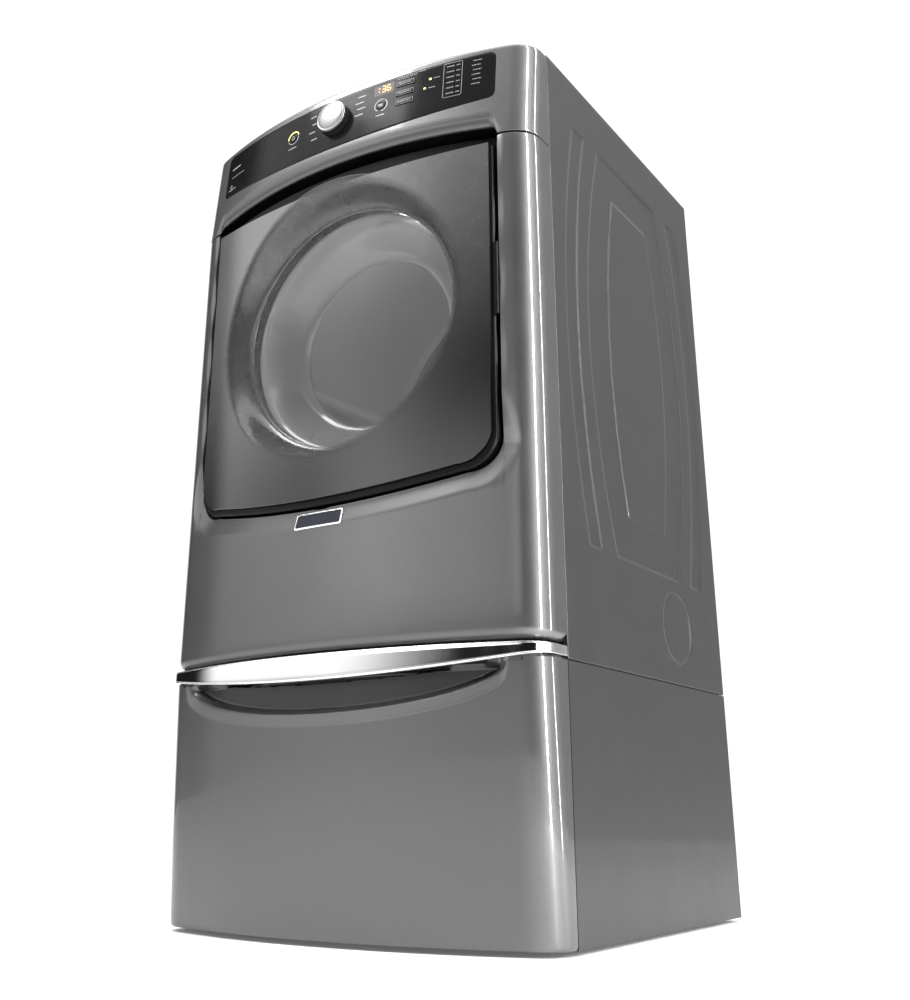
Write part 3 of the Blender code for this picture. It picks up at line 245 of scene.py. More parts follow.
def glowing(name, colour, strength):
    """A lit mark: the light is a little uneven, like a lamp behind a printed lens."""
    material, tree, shader, coords = node_setup(name)
    glow = shades(tree, remap(tree, noise(tree, coords, 300.0), 0.0, 1.0), colour, 0.75, 1.0)
    feed(tree, shader, Base_Color=glow, Emission_Color=glow, Emission_Strength=strength, Roughness=0.3)
    return material


def radial_ramp(tree, coords, low, high):
    """0 within the low radius round the drum's axis, 1 beyond the high one."""
    split = add_node(tree, "SeparateXYZ", Vector=coords)
    joined = add_node(tree, "CombineXYZ", X=split.outputs["X"], Y=split.outputs["Z"])
    gap = tree.nodes.new("ShaderNodeVectorMath")
    gap.operation = "DISTANCE"
    join(tree, joined.outputs["Vector"], gap.inputs[0])
    join(tree, (0.0, DRUM_Z, 0.0), gap.inputs[1])
    return map_range(tree, gap.outputs["Value"], low, high, soft=True)


def door_glass_material():
    """Tinted glass, printed dark outside a soft-edged round window; its colour is painted lighter towards
    the top and left, a painted reflection of light from the upper left.
    """
    material, tree, shader, coords = node_setup("door glass")
    clouds = remap(tree, noise(tree, coords, 6.0), 0.0, 0.06)
    edge = calculate(tree, "ADD", radial_ramp(tree, coords, 0.226, 0.247), clouds)
    # Painted reflection: the colour runs from near black at the lower right to grey at the upper left.
    slant = tree.nodes.new("ShaderNodeVectorMath")
    slant.operation = "DOT_PRODUCT"
    join(tree, coords, slant.inputs[0])
    join(tree, (-0.35, 0.0, 1.0), slant.inputs[1])
    painted_light_fade = map_range(tree, slant.outputs["Value"], GLASS_BOTTOM, GLASS_TOP, soft=True)
    feed(tree, shader, Base_Color=blend_colours(tree, painted_light_fade, grey(0.004), grey(0.17)), Metallic=0.6,
         Roughness=remap(tree, noise(tree, coords, 40.0), 0.24, 0.28),
         Alpha=map_range(tree, edge, 0.0, 1.0, 0.04, 1.0), Coat_Weight=0.7, Coat_Roughness=0.05)
    return material


def clear_glass_material():
    """The inner bowl: smoked glass whose sloping wall is painted paler than its flat bottom, a painted
    sheen.
    """
    material, tree, shader, coords = node_setup("clear bowl glass")
    # Painted sheen: the sloping wall is coloured paler than the flat bottom.
    wall = radial_ramp(tree, coords, 0.146, 0.152)
    feed(tree, shader, Base_Color=blend_colours(tree, wall, grey(0.07), grey(0.32)),
         Roughness=remap(tree, noise(tree, coords, 50.0), 0.06, 0.12),
         Alpha=map_range(tree, wall, 0.0, 1.0, 0.40, 0.60), Coat_Weight=0.6)
    return material


paint = metallic_paint("metallic grey paint", grey(0.112), 1.0)
# A darker copy of the paint for the deep faces of the drawer's scoop: painted shade in the hollow.
painted_shade_paint = metallic_paint("painted shade in the hollow", grey(0.035))
# A darker copy of the front paint for the sides and the pedestal: painted shade that offsets the strip
# lights falling on them.
side_paint = metallic_paint("metallic grey side paint", grey(0.08))
steel = galvanised("galvanised steel", (0.62, 0.63, 0.64))
black_gloss = surface("black gloss panel", (0.010, 0.010, 0.011), 0.2, (0.10, 0.16), grain=900.0,
                      bump=0.02, depth=0.0001, specular=0.08)
black_frame = surface("black door frame", grey(0.004), 0.2, (0.30, 0.40), grain=700.0,
                      specular=0.12)
dish_black = surface("smoked door dish", grey(0.075), 0.1, (0.24, 0.30), metallic=0.6,
                     grain=500.0, bump=0.01, coat=0.4)
dark_satin = surface("dark satin plastic", (0.035, 0.035, 0.038), 0.15, (0.42, 0.55), grain=900.0,
                     bump=0.15)
pale_plastic = surface("pale grey plastic", (0.55, 0.56, 0.56), 0.05, (0.40, 0.52), grain=800.0,
                       bump=0.12)
chrome = surface("chrome", grey(0.88), 0.02, (0.03, 0.07), metallic=1.0, grain=60.0,
                 bump=0.01, depth=0.0002)
brushed = surface("brushed cap", grey(0.26), 0.03, (0.34, 0.42), metallic=1.0, grain=220.0,
                  bump=0.06, depth=0.0001, stretch=(0.05, 1.0, 1.0))
satin_cap = surface("satin metal", grey(0.85), 0.03, (0.22, 0.30), metallic=1.0)
smoked_metal = surface("smoked metal", grey(0.16), 0.05, (0.20, 0.28), metallic=1.0)
drum_paint = surface("drum finish", grey(0.62), 0.05, (0.32, 0.42), metallic=0.3,
                     grain=1200.0, bump=0.10, coat=0.3)
rubber = surface("black rubber", grey(0.022), 0.2, (0.70, 0.88), grain=900.0, bump=0.3)
felt = surface("grey felt", (0.27, 0.26, 0.25), 0.18, (0.90, 1.0), grain=1600.0, bump=0.7,
               depth=0.0008)
print_grey = surface("printed marks", grey(0.50), 0.06, (0.40, 0.50), grain=1500.0)
print_dim = surface("faint printed marks", grey(0.24), 0.06, (0.40, 0.50), grain=1500.0)
badge_field = surface("badge field", (0.012, 0.014, 0.024), 0.1, (0.25, 0.32), grain=500.0,
                      specular=0.2)
lens = surface("display lens", (0.020, 0.011, 0.004), 0.2, (0.12, 0.18), grain=900.0, bump=0.02,
               specular=0.15)
amber = glowing("amber digits", (1.0, 0.52, 0.12), 2.2)
yellow = glowing("yellow lamp", (0.85, 0.80, 0.18), 1.6)
door_glass = door_glass_material()
clear_glass = clear_glass_material()

SLOT_LOOKS = {
    "cabinet_paint": paint,
    "console_paint": paint,
    "black_gloss": black_gloss,
    "dark_satin": dark_satin,
    "pale_plastic": pale_plastic,
    "chrome": chrome,
    "steel": steel,
    "drum_finish": drum_paint,
    "glass": clear_glass,
    "rubber": rubber,
    "felt": felt,
    "display_lens": lens,
    "badge_metal": satin_cap,
}
NODE_LOOKS = {                   # CAD nodes that look different from their slot
    "pedestal_cabinet": side_paint,
    "hinge_arm": black_frame,
    "hinge_bracket": black_frame,
}


def dress_cad_nodes():
    """Every CAD node gets the look of its record slot, or its own."""
    for part in frame["record"]["subparts"]:
        node = frame["nodes"][part["node"]]
        look = NODE_LOOKS.get(part["node"], SLOT_LOOKS[part["material_slot"]])
        node.data.materials.clear()
        node.data.materials.append(look)


# --- mesh helpers -----------------------------------------------------------------------------

def smooth(low, high, value):
    """0 below low, 1 above high, with a soft rise between."""
    share = min(max((value - low) / (high - low), 0.0), 1.0)
    return share * share * (3 - 2 * share)


def link_object(name, data):
    item = bpy.data.objects.new(name, data)
    bpy.context.scene.collection.objects.link(item)
    return item


def make_object(name, mesh_data, material, sharp=35):
    bmesh.ops.remove_doubles(mesh_data, verts=mesh_data.verts, dist=1e-5)
    bmesh.ops.recalc_face_normals(mesh_data, faces=mesh_data.faces)
    mesh = bpy.data.meshes.new(name)
    mesh_data.to_mesh(mesh)
    mesh_data.free()
    mesh.shade_smooth()
    mesh.set_sharp_from_angle(angle=math.radians(sharp))
    mesh.materials.append(material)
    return link_object(name, mesh)


def install(piece, body, node=None):
    """The piece rides on a body; it may stand for a CAD node, which is then hidden."""
    if node is not None:
        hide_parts(node)
    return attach(piece, body)


def add_patch(mesh_data, lines, closed=False):
    """Quads between neighbouring lines of points."""
    grid = [[mesh_data.verts.new(point) for point in line] for line in lines]
    pairs = list(zip(grid, grid[1:]))
    if closed:
        pairs.append((grid[-1], grid[0]))
    for left, right in pairs:
        for i in range(len(left) - 1):
            mesh_data.faces.new((left[i], right[i], right[i + 1], left[i + 1]))
    return grid


def settle(item, sharp=35):
    """Replace an object's mesh by its modified shape."""
    graph = bpy.context.evaluated_depsgraph_get()
    mesh = bpy.data.meshes.new_from_object(item.evaluated_get(graph))
    item.modifiers.clear()
    item.data = mesh
    mesh.shade_smooth()
    mesh.set_sharp_from_angle(angle=math.radians(sharp))
    return item


def thicken(item, thickness, sharp=35):
    """Give an open sheet its thickness, growing inwards from its outer face."""
    modifier = item.modifiers.new("thickness", "SOLIDIFY")
    modifier.thickness = thickness
    modifier.offset = -1.0
    return settle(item, sharp)


def carve(item, cutters, sharp=35):
    """Cut helper solids out of a piece, then throw the helpers away."""
    for cutter in cutters:
        modifier = item.modifiers.new(cutter.name, "BOOLEAN")
        modifier.operation = "DIFFERENCE"
        modifier.solver = "EXACT"
        modifier.object = cutter
    settle(item, sharp)
    for cutter in cutters:
        bpy.data.objects.remove(cutter, do_unlink=True)
    return item


def closed_plate(name, columns, thickness, material, sharp=35):
    """A plate from its front face, given as columns of (point, inward direction)."""
    mesh_data = bmesh.new()
    front = add_patch(mesh_data, [[point for point, _ in line] for line in columns])
    rear = add_patch(mesh_data, [[point + inward * thickness for point, inward in line] for line in columns])
    border = [(i, 0) for i in range(len(front))]
    border += [(len(front) - 1, j) for j in range(1, len(front[0]))]
    border += [(i, len(front[0]) - 1) for i in range(len(front) - 2, -1, -1)]
    border += [(0, j) for j in range(len(front[0]) - 2, 0, -1)]
    for (i, j), (k, m) in zip(border, border[1:] + border[:1]):
        mesh_data.faces.new((front[i][j], front[k][m], rear[k][m], rear[i][j]))
    return make_object(name, mesh_data, material, sharp)


def turned(name, profile, material, steps=96, matrix=None, sharp=35):
    """Spin a closed (radius, height) profile about local Z."""
    mesh_data = bmesh.new()
    rings = []
    for step in range(steps):
        angle = math.tau * step / steps
        ring = [Vector((radius * math.cos(angle), radius * math.sin(angle), height))
                for radius, height in profile]
        rings.append(ring + ring[:1])
    add_patch(mesh_data, rings, closed=True)
    item = make_object(name, mesh_data, material, sharp)
    if matrix is not None:
        item.data.transform(matrix)
    return item


def rounded(low, high, steps):
    """Values from low to high, closer together at both ends."""
    return [low + (high - low) * (1 - math.cos(math.pi * i / steps)) / 2 for i in range(steps + 1)]


def even(low, high, steps):
    return [low + (high - low) * i / steps for i in range(steps + 1)]


# --- the bowed front ----------------------------------------------------------------------------

CORNER_X = HALF - CORNER_RADIUS
BOW_REACH = BOW_RADIUS - CORNER_RADIUS
MEET = math.asin(CORNER_X / BOW_REACH)
CORNER_DROP = BOW_RADIUS - math.sqrt(BOW_REACH ** 2 - CORNER_X ** 2)


def station(x):
    """Where a point x of the bow lies along the front: 0 in the middle, 1 where the bow ends."""
    return math.asin(x / BOW_RADIUS) / MEET


def front_point(place, depth, rear=SIDE_DEPTH):
    """(x, y) and outward (x, y) of the front: the bow to 1, the corner to 2, the side to 3."""
    side = -1 if place < 0 else 1
    place = abs(place)
    if place <= 1:
        angle = place * MEET
        x = BOW_RADIUS * math.sin(angle)
        y = back(depth) + BOW_RADIUS * (1 - math.cos(angle))
    elif place <= 2:
        angle = MEET + (place - 1) * (math.pi / 2 - MEET)
        x = CORNER_X + CORNER_RADIUS * math.sin(angle)
        y = back(depth) + CORNER_DROP - CORNER_RADIUS * math.cos(angle)
    else:
        angle = math.pi / 2
        x = HALF
        y = back(depth) + CORNER_DROP + (place - 2) * (depth - CORNER_DROP - rear)
    return (side * x, y), (side * math.sin(angle), -math.cos(angle))


def station_x(place, depth):
    return front_point(place, depth)[0][0]


def surface_point(place, z, depth, inset=0.0, rear=SIDE_DEPTH):
    (x, y), (out_x, out_y) = front_point(place, depth, rear)
    return Vector((x - out_x * inset, y - out_y * inset, z))


def bow_drop(x):
    return BOW_RADIUS - math.sqrt(BOW_RADIUS ** 2 - x * x)


def on_bow(x, depth, z):
    """A point of a bowed face that has this depth in its middle."""
    return spot(x, depth - bow_drop(x), z)


def bowed_edge(height, half, bow, corner, side):
    """An edge that bows gently and turns round a corner at each end: up with side 1, down with -1."""
    start = half - corner
    centre = height + bow * start * start + side * corner

    def edge(x):
        past = abs(x) - start
        if past <= 0:
            return height + bow * x * x
        return centre - side * math.sqrt(max(corner * corner - past * past, 0.0))
    return edge


def lower_edge(height, half, bow=EDGE_BOW, corner=DOOR_CORNER):
    return bowed_edge(height, half, bow, corner, 1)


def upper_edge(height, half, bow, corner):
    return bowed_edge(height, half, bow, corner, -1)


def corner_columns(half, corner, middle_steps, corner_steps):
    """x values across a plate whose corners are rounded."""
    inner = half - corner
    turn = [inner + corner * math.sin(angle) for angle in even(0.0, math.pi / 2, corner_steps)[1:]]
    return [-x for x in reversed(turn)] + even(-inner, inner, middle_steps) + turn


def outer_places(start, bow_steps=6, corner_steps=18, side_steps=2):
    """Stations from a bow position out round the corner to the end of the side."""
    places = even(start, 1.0, bow_steps) + even(1.0, 2.0, corner_steps)[1:]
    return places + even(2.0, 3.0, side_steps)[1:]


def whole_front(middle, outer):
    """Stations across the front: the outer ones mirrored, the middle ones, the outer ones."""
    return [-place for place in reversed(outer)] + middle + outer


opening_edge = lower_edge(OPENING_BOTTOM, OPENING_HALF)
brow_edge = upper_edge(BROW_EDGE, OPENING_HALF, BROW_BOW, BROW_CORNER)
PILLAR_FOOT = opening_edge(OPENING_HALF)


def roll(distance, radius):
    """How far an edge of that radius falls back, at a distance from the edge line."""
    if distance >= radius:
        return 0.0
    return radius - math.sqrt(radius ** 2 - (radius - distance) ** 2)


def opening_outline(top):
    """The door opening's left side, bottom and right side, as (x, z) points."""
    columns = corner_columns(OPENING_HALF, DOOR_CORNER, 36, 14)
    left = [(-OPENING_HALF, z) for z in even(top, PILLAR_FOOT, 30)[:-1]]
    bottom = [(x, opening_edge(x)) for x in columns]
    return left + bottom + [(-x, z) for x, z in reversed(left)]


DISH_DEPTH = 0.0085
DISH_WIDTH = 0.030               # below the door
DISH_SIDE_WIDTH = 0.0085         # beside it
DISH_SOFTNESS = 0.2
DISH_REACH = 0.045               # no dish further than this from the opening
SHEET = 0.0015                   # thickness of the painted sheets and radius of their edges
SKIN_TOP = SEAM - 0.0020
CONSOLE_FOOT = SEAM + 0.0010


def dish_drop(x, z, outline):
    """The surround falls back towards the door opening, widest below the door."""
    gap = min(math.hypot(x - px, z - pz) for px, pz in outline)
    blend = smooth(PILLAR_FOOT - 0.03, PILLAR_FOOT + 0.07, z)
    width = DISH_WIDTH + (DISH_SIDE_WIDTH - DISH_WIDTH) * blend
    fall = DISH_DEPTH * width / DISH_WIDTH
    near = max(1.0 - gap / width, 0.0)
    slope = near - DISH_SOFTNESS / 2
    if near < DISH_SOFTNESS:
        slope = near * near / (2 * DISH_SOFTNESS)
    return fall * slope / (1 - DISH_SOFTNESS / 2)


def build_front_skin():
    """The painted front below the console, with its dished surround and the recess wall."""
    outline = opening_outline(SKIN_TOP)
    band = 0.034                 # close rows below the opening
    foot = 0.018                 # height of the roll at the bottom
    foot_inset = 0.012

    def skin_point(place, z):
        x = station_x(place, FRONT_DEPTH)
        inset = foot_inset / foot * roll(z - FRONT_BOTTOM, foot) + roll(SKIN_TOP - z, SHEET)
        if abs(x) < OPENING_HALF + DISH_REACH:
            inset += dish_drop(x, z, outline)
        return surface_point(place, z, FRONT_DEPTH, inset)

    foot_rows = [FRONT_BOTTOM + foot * (1 - math.cos(math.pi / 2 * i / 8)) for i in range(9)]
    mesh_data = bmesh.new()
    middle = [station(x) for x in corner_columns(OPENING_HALF, DOOR_CORNER, 36, 14)]
    outer = outer_places(station(OPENING_HALF))
    lines = []
    for place in whole_front(middle, outer[1:]):
        x = station_x(place, FRONT_DEPTH)
        high = opening_edge(x) if abs(x) < OPENING_HALF else PILLAR_FOOT
        rows = foot_rows + even(foot_rows[-1], high - band, 14)[1:] + even(high - band, high, 14)[1:]
        lines.append([skin_point(place, z) for z in rows])
    add_patch(mesh_data, lines)
    pillar_rows = even(PILLAR_FOOT, SKIN_TOP - SHEET, 34) + even(SKIN_TOP - SHEET, SKIN_TOP, 4)[1:]
    for side in (1, -1):
        add_patch(mesh_data, [[skin_point(side * place, z) for z in pillar_rows] for place in outer])
    wall = []
    for x, z in outline:
        front = skin_point(station(x), z)
        wall.append([Vector((x, y, z)) for y in even(front.y, back(PAN_DEPTH), 6)])
    add_patch(mesh_data, wall)
    return thicken(make_object("front_skin", mesh_data, paint), SHEET)


def lint_slot_cutter():
    """Clears the slot in the bottom of the drum's mouth that the lint screen lifts through."""
    half = 0.0875
    front = 0.6295
    rear = 0.6015
    low = spot(-half, front, 0.66)
    high = spot(half, rear, 0.78)
    mesh_data = bmesh.new()
    bmesh.ops.create_cube(mesh_data, size=1.0)
    for vertex in mesh_data.verts:
        vertex.co = Vector([low[i] if vertex.co[i] < 0 else high[i] for i in range(3)])
    return make_object("cutter", mesh_data, paint)


def build_recess_pan():
    """The flat face behind the door, with the drum's round mouth rolled inwards."""
    half = OPENING_HALF - 0.001
    top = brow_edge(0) + 0.001
    bottom = lower_edge(OPENING_BOTTOM + 0.001, half)
    side = even(bottom(half), top, 24)
    edge = [(x, bottom(x)) for x in corner_columns(half, DOOR_CORNER, 36, 14)]
    edge += [(half, z) for z in side[1:]]
    edge += [(x, top) for x in even(half, -half, 36)[1:]]
    edge += [(-half, z) for z in side[-2:0:-1]]
    mouth = 0.215
    mouth_rear = 0.604
    lip = 0.012
    lines = []
    for x, z in edge:
        angle = math.atan2(z - DRUM_Z, x)

        def ring(radius, depth):
            return spot(radius * math.cos(angle), depth, DRUM_Z + radius * math.sin(angle))

        outer = spot(x, PAN_DEPTH, z)
        line = [outer.lerp(ring(mouth + lip, PAN_DEPTH), share) for share in even(0.0, 1.0, 6)]
        for turn in even(0.0, math.pi / 2, 6)[1:]:
            line.append(ring(mouth + lip * (1 - math.sin(turn)), PAN_DEPTH - lip * (1 - math.cos(turn))))
        line.append(ring(mouth, mouth_rear))
        lines.append(line)
    mesh_data = bmesh.new()
    add_patch(mesh_data, lines, closed=True)
    pan = thicken(make_object("recess_pan", mesh_data, paint), 0.0012)
    return carve(pan, [lint_slot_cutter()])


def console_depth(z):
    return CONSOLE_DEPTH - CONSOLE_SLOPE * (z - SEAM)


panel_low = lower_edge(PANEL_BOTTOM, PANEL_HALF, PANEL_LOWER_BOW, PANEL_CORNER)
panel_high = upper_edge(PANEL_TOP, PANEL_HALF, PANEL_UPPER_BOW, PANEL_CORNER)


LIP_HEIGHT = 0.026
LIP_DEPTH = 0.012
LIP_RISE = 0.005
TOP_ROLL = 0.0065
CONSOLE_SHEET = 0.002


def console_low_edge(x):
    """The lower edge of the console: the brow over the door, the seam beside it."""
    if abs(x) > OPENING_HALF:
        return CONSOLE_FOOT
    return max(brow_edge(x) + LIP_RISE, CONSOLE_FOOT)


def fascia_point(place, z):
    """The console's painted face: a lip over the door, a small edge beside it, rolled over the top."""
    x = station_x(place, console_depth(z))
    middle = 1.0 - smooth(OPENING_HALF - 0.016, OPENING_HALF + 0.008, abs(x))
    up = z - console_low_edge(x)
    lip = LIP_DEPTH / LIP_HEIGHT * roll(up, LIP_HEIGHT)
    inset = middle * lip + (1.0 - middle) * roll(up, SHEET) + roll(HEIGHT - z, TOP_ROLL)
    return surface_point(place, z, console_depth(z), inset)


def lip_rows(start, end):
    """Heights up from the lip, close together where it curves."""
    reach = min(LIP_HEIGHT, (end - start) * 0.8)
    rows = [start + reach * (1 - math.cos(turn)) for turn in even(0.0, math.pi / 2, 14)]
    return rows + even(rows[-1], end, 10)[1:]


def top_rows(start, end):
    """Heights up to the top edge, close together where it rolls over."""
    reach = min(TOP_ROLL, (end - start) * 0.6)
    rows = even(start, end - reach, 3)
    return rows + [end - reach + reach * math.sin(turn) for turn in even(0.0, math.pi / 2, 6)[1:]]


def build_console_shell():
    """The leaning fascia round the control panel, rolled under at the brow and over the top."""
    side_low = panel_low(PANEL_HALF)
    side_high = panel_high(PANEL_HALF)
    middle = [station(x) for x in corner_columns(PANEL_HALF, PANEL_CORNER, 44, 8)]
    outer = [middle[-1]] + outer_places(station(OPENING_HALF))
    places = whole_front(middle, outer[1:])
    mesh_data = bmesh.new()

    def band(band_places, low, high, rows):
        lines = []
        for place in band_places:
            x = station_x(place, CONSOLE_DEPTH)
            lines.append([fascia_point(place, z) for z in rows(low(x), high(x))])
        add_patch(mesh_data, lines)

    band(places, console_low_edge, lambda x: panel_low(x) if abs(x) < PANEL_HALF else side_low, lip_rows)
    band(places, lambda x: panel_high(x) if abs(x) < PANEL_HALF else side_high, lambda x: HEIGHT, top_rows)
    for side in (1, -1):
        band([side * place for place in outer], lambda x: side_low, lambda x: side_high,
             lambda low, high: even(low, high, 8))
    top_lines = []
    for place in places:
        start = fascia_point(place, HEIGHT)
        top_lines.append([Vector((start.x, y, HEIGHT)) for y in even(start.y, back(SIDE_DEPTH), 3)])
    add_patch(mesh_data, top_lines)
    return thicken(make_object("console_shell", mesh_data, paint), CONSOLE_SHEET)


def build_brow_underside():
    """The plate under the brow, from the lip back to the recess, coloured black as painted shade."""
    lines = []
    for x in corner_columns(OPENING_HALF - 0.001, BROW_CORNER, 44, 6):
        height = console_low_edge(x)
        start = fascia_point(station(x), height)
        rows = even(start.y + 0.001, back(PAN_DEPTH), 5)
        lines.append([Vector((x, y, height + 0.0012)) for y in rows])
    mesh_data = bmesh.new()
    add_patch(mesh_data, lines)
    # Black stands for the shade under the brow: painted shade.
    return thicken(make_object("brow_underside", mesh_data, black_frame), SHEET)


def pane_columns(columns, low, high, rows, point):
    return [[point(x, z) for z in rounded(low(x), high(x), rows)] for x in columns]


def edge_gap(x, z, half, low, high):
    """Rough distance from a point to the nearest edge of a plate."""
    return max(min(half - abs(x), z - low(x), high(x) - z), 0.0)


def panel_point(x, z, lift=0.0):
    """A point on the control panel's face, moved out of it by lift."""
    return on_bow(x, console_depth(z), z) + panel_normal(x) * lift


def panel_normal(x):
    lean = Vector((x / math.sqrt(BOW_RADIUS ** 2 - x * x), -1.0, CONSOLE_SLOPE))
    return lean.normalized()


def panel_frame(place):
    """Local axes on the control panel: X across, Y up the face, Z out of it."""
    x, z = place
    across = Vector((1, x / math.sqrt(BOW_RADIUS ** 2 - x * x), 0)).normalized()
    up = Vector((0, CONSOLE_SLOPE, 1)).normalized()
    out = across.cross(up).normalized()
    up = out.cross(across)
    turn = Matrix((across, up, out)).transposed().to_4x4()
    return Matrix.Translation(panel_point(x, z)) @ turn


def rounded_box(size, corner, steps):
    """(x, y, angle) for the points of a box's rounded corners: each turns about its (x, y)."""
    points = []
    for sign_x, sign_y, start in ((1, 1, 0), (-1, 1, 90), (-1, -1, 180), (1, -1, 270)):
        for angle in even(start, start + 90, steps):
            points.append((sign_x * (size[0] / 2 - corner), sign_y * (size[1] / 2 - corner),
                           math.radians(angle)))
    return points


def rounded_block(name, size, low, high, corner, edge, material, matrix):
    """A block with rounded corners and softened front edges, in local panel axes."""
    mesh_data = bmesh.new()
    lines = []
    for x, y, angle in rounded_box(size, corner, 5):
        def at(shrink, height):
            reach = corner - shrink
            return Vector((x + reach * math.cos(angle), y + reach * math.sin(angle), height))
        line = [at(0.0, low), at(0.0, high - edge)]
        line += [at(edge * (1 - math.cos(turn)), high - edge + edge * math.sin(turn))
                 for turn in even(0, math.pi / 2, 3)[1:]]
        lines.append(line)
    grid = add_patch(mesh_data, lines, closed=True)
    mesh_data.faces.new([line[-1] for line in grid])
    mesh_data.faces.new([line[0] for line in grid][::-1])
    item = make_object(name, mesh_data, material)
    item.data.transform(matrix)
    return item


def block_cutter(place, size, corner):
    """A helper solid that clears a rounded block of a given size in the control panel."""
    room = (size[0] + 2 * KEY_GAP, size[1] + 2 * KEY_GAP)
    return rounded_block("cutter", room, -0.01, 0.01, corner, 0.0001, black_gloss, panel_frame(place))


def panel_cutters():
    """Helper solids for the holes of the knob, buttons and display."""
    cutters = []
    for place, radius in ((POWER_PLACE, BUTTON_RADIUS + KEY_GAP), (START_PLACE, BUTTON_RADIUS + KEY_GAP),
                          (KNOB_PLACE, 0.0085)):
        profile = [(0, -0.01), (radius, -0.01), (radius, 0.01), (0, 0.01)]
        cutters.append(turned("cutter", profile, black_gloss, 48, panel_frame(place)))
    for height in OPTION_HEIGHTS:
        cutters.append(block_cutter((OPTION_X, height), OPTION_SIZE, 0.0018))
    cutters.append(block_cutter(DISPLAY_PLACE, DISPLAY_SIZE, 0.002))
    return cutters


def build_control_fascia():
    """The black control panel, set in the shell with a fine gap all round."""
    gap = 0.0006
    half = PANEL_HALF - gap
    columns = corner_columns(half, PANEL_CORNER, 64, 8)
    low = lower_edge(PANEL_BOTTOM + gap, half, PANEL_LOWER_BOW, PANEL_CORNER)
    high = upper_edge(PANEL_TOP - gap, half, PANEL_UPPER_BOW, PANEL_CORNER)

    def point(x, z):
        sink = roll(edge_gap(x, z, half, low, high), 0.0012)
        return panel_point(x, z, 0.0002 - sink), -panel_normal(x)

    lines = pane_columns(columns, low, high, 26, point)
    fascia = closed_plate("control_fascia", lines, 0.0028, black_gloss)
    return carve(fascia, panel_cutters())


# --- marks on the console -----------------------------------------------------------------------

MARK_LIFT = 0.00042
MARK_FOOT = 0.0001


def add_ribbon(mesh_data, pairs, place=panel_point, closed=False):
    """A thin raised strip on a face, from pairs of (x, z) points on its two sides."""
    rings = []
    for inner, outer in pairs:
        corners = [place(*inner, MARK_FOOT), place(*inner, MARK_LIFT),
                   place(*outer, MARK_LIFT), place(*outer, MARK_FOOT)]
        rings.append([mesh_data.verts.new(corner) for corner in corners])
    steps = list(zip(rings, rings[1:]))
    if closed:
        steps.append((rings[-1], rings[0]))
    for first, second in steps:
        for i in range(4):
            mesh_data.faces.new((first[i - 1], first[i], second[i], second[i - 1]))
    if not closed:
        mesh_data.faces.new(rings[0])
        mesh_data.faces.new(rings[-1])


def add_bar(mesh_data, x, z, width, height, place=panel_point):
    """A small upright block of print centred at x, z."""
    low = z - height / 2
    high = z + height / 2
    sides = [((x + reach, low), (x + reach, high)) for reach in (-width / 2, width / 2)]
    add_ribbon(mesh_data, sides, place)


def add_ring(mesh_data, centre, radius, width, start=0.0, sweep=360.0, steps=40, place=panel_point):
    closed = sweep >= 360.0
    angles = [math.radians(start + sweep * step / steps) for step in range(steps if closed else steps + 1)]
    pairs = [tuple((centre[0] + reach * math.cos(angle), centre[1] + reach * math.sin(angle))
                   for reach in (radius - width, radius)) for angle in angles]
    add_ribbon(mesh_data, pairs, place, closed)


def add_frame(mesh_data, centre, size, line, corner=0.0015, place=panel_point):
    """An outlined box with rounded corners."""
    pairs = [tuple((centre[0] + x + reach * math.cos(angle), centre[1] + z + reach * math.sin(angle))
                   for reach in (corner - line, corner)) for x, z, angle in rounded_box(size, corner, 3)]
    add_ribbon(mesh_data, pairs, place, closed=True)


def add_caption(mesh_data, x, z, width, height=0.0024):
    """A row of short bars of uneven length that stands for a printed word."""
    reach = x - width / 2
    number = 0
    while reach < x + width / 2 - 0.0004:
        length = min(0.0011 + 0.0007 * ((number * 5) % 3), x + width / 2 - reach)
        tall = height * (0.75 + 0.25 * ((number * 3 + 1) % 2))
        add_bar(mesh_data, reach + length / 2, z, length, tall)
        reach += length + 0.0007
        number += 1


SEGMENTS = {                     # seven-segment digits: which bars are lit
    "3": "abgcd",
    "5": "afgcd",
    "6": "afgcde",
}


def add_digit(mesh_data, x, z, digit, width=0.0065, height=0.0115, bar=0.0011):
    half = height / 4
    places = {
        "a": (0, 2 * half, True), "g": (0, 0, True), "d": (0, -2 * half, True),
        "b": (width / 2, half, False), "c": (width / 2, -half, False),
        "f": (-width / 2, half, False), "e": (-width / 2, -half, False),
    }
    for segment in SEGMENTS[digit]:
        dx, dz, flat = places[segment]
        size = (width - bar * 1.5, bar) if flat else (bar, height / 2 - bar * 0.6)
        add_bar(mesh_data, x + dx, z + dz, *size)


def add_caption_column(mesh_data, x, top, step, count, width, height=0.0024, stagger=0.0):
    """Captions below each other, every second one moved sideways."""
    for number in range(count):
        add_caption(mesh_data, x + stagger * (number % 2), top - step * number, width, height)


def bright_marks():
    """The captions beside the knob, under the round keys and at the console's left end."""
    marks = bmesh.new()
    add_caption_column(marks, -0.052, 1.3255, 0.0165, 4, 0.013, stagger=0.006)
    add_caption_column(marks, 0.054, 1.3275, 0.0125, 4, 0.016, stagger=-0.004)
    for start, sweep in ((70.0, 170.0), (275.0, 140.0)):
        add_ring(marks, START_PLACE, 0.0125, 0.0011, start, sweep)
    add_caption(marks, START_PLACE[0], START_PLACE[1] - 0.0205, 0.017, 0.0018)
    add_ring(marks, POWER_PLACE, 0.0125, 0.0010, 200.0, 210.0)
    add_caption(marks, POWER_PLACE[0], POWER_PLACE[1] - 0.0215, 0.020, 0.0018)
    add_caption(marks, -0.266, 1.3150, 0.026, 0.0026)
    add_caption(marks, -0.258, 1.2960, 0.040, 0.0010)
    add_ring(marks, (-0.275, 1.2760), 0.0034, 0.0008)
    add_caption(marks, -0.271, 1.2690, 0.022, 0.0016)
    return make_object("console_captions", marks, print_grey)


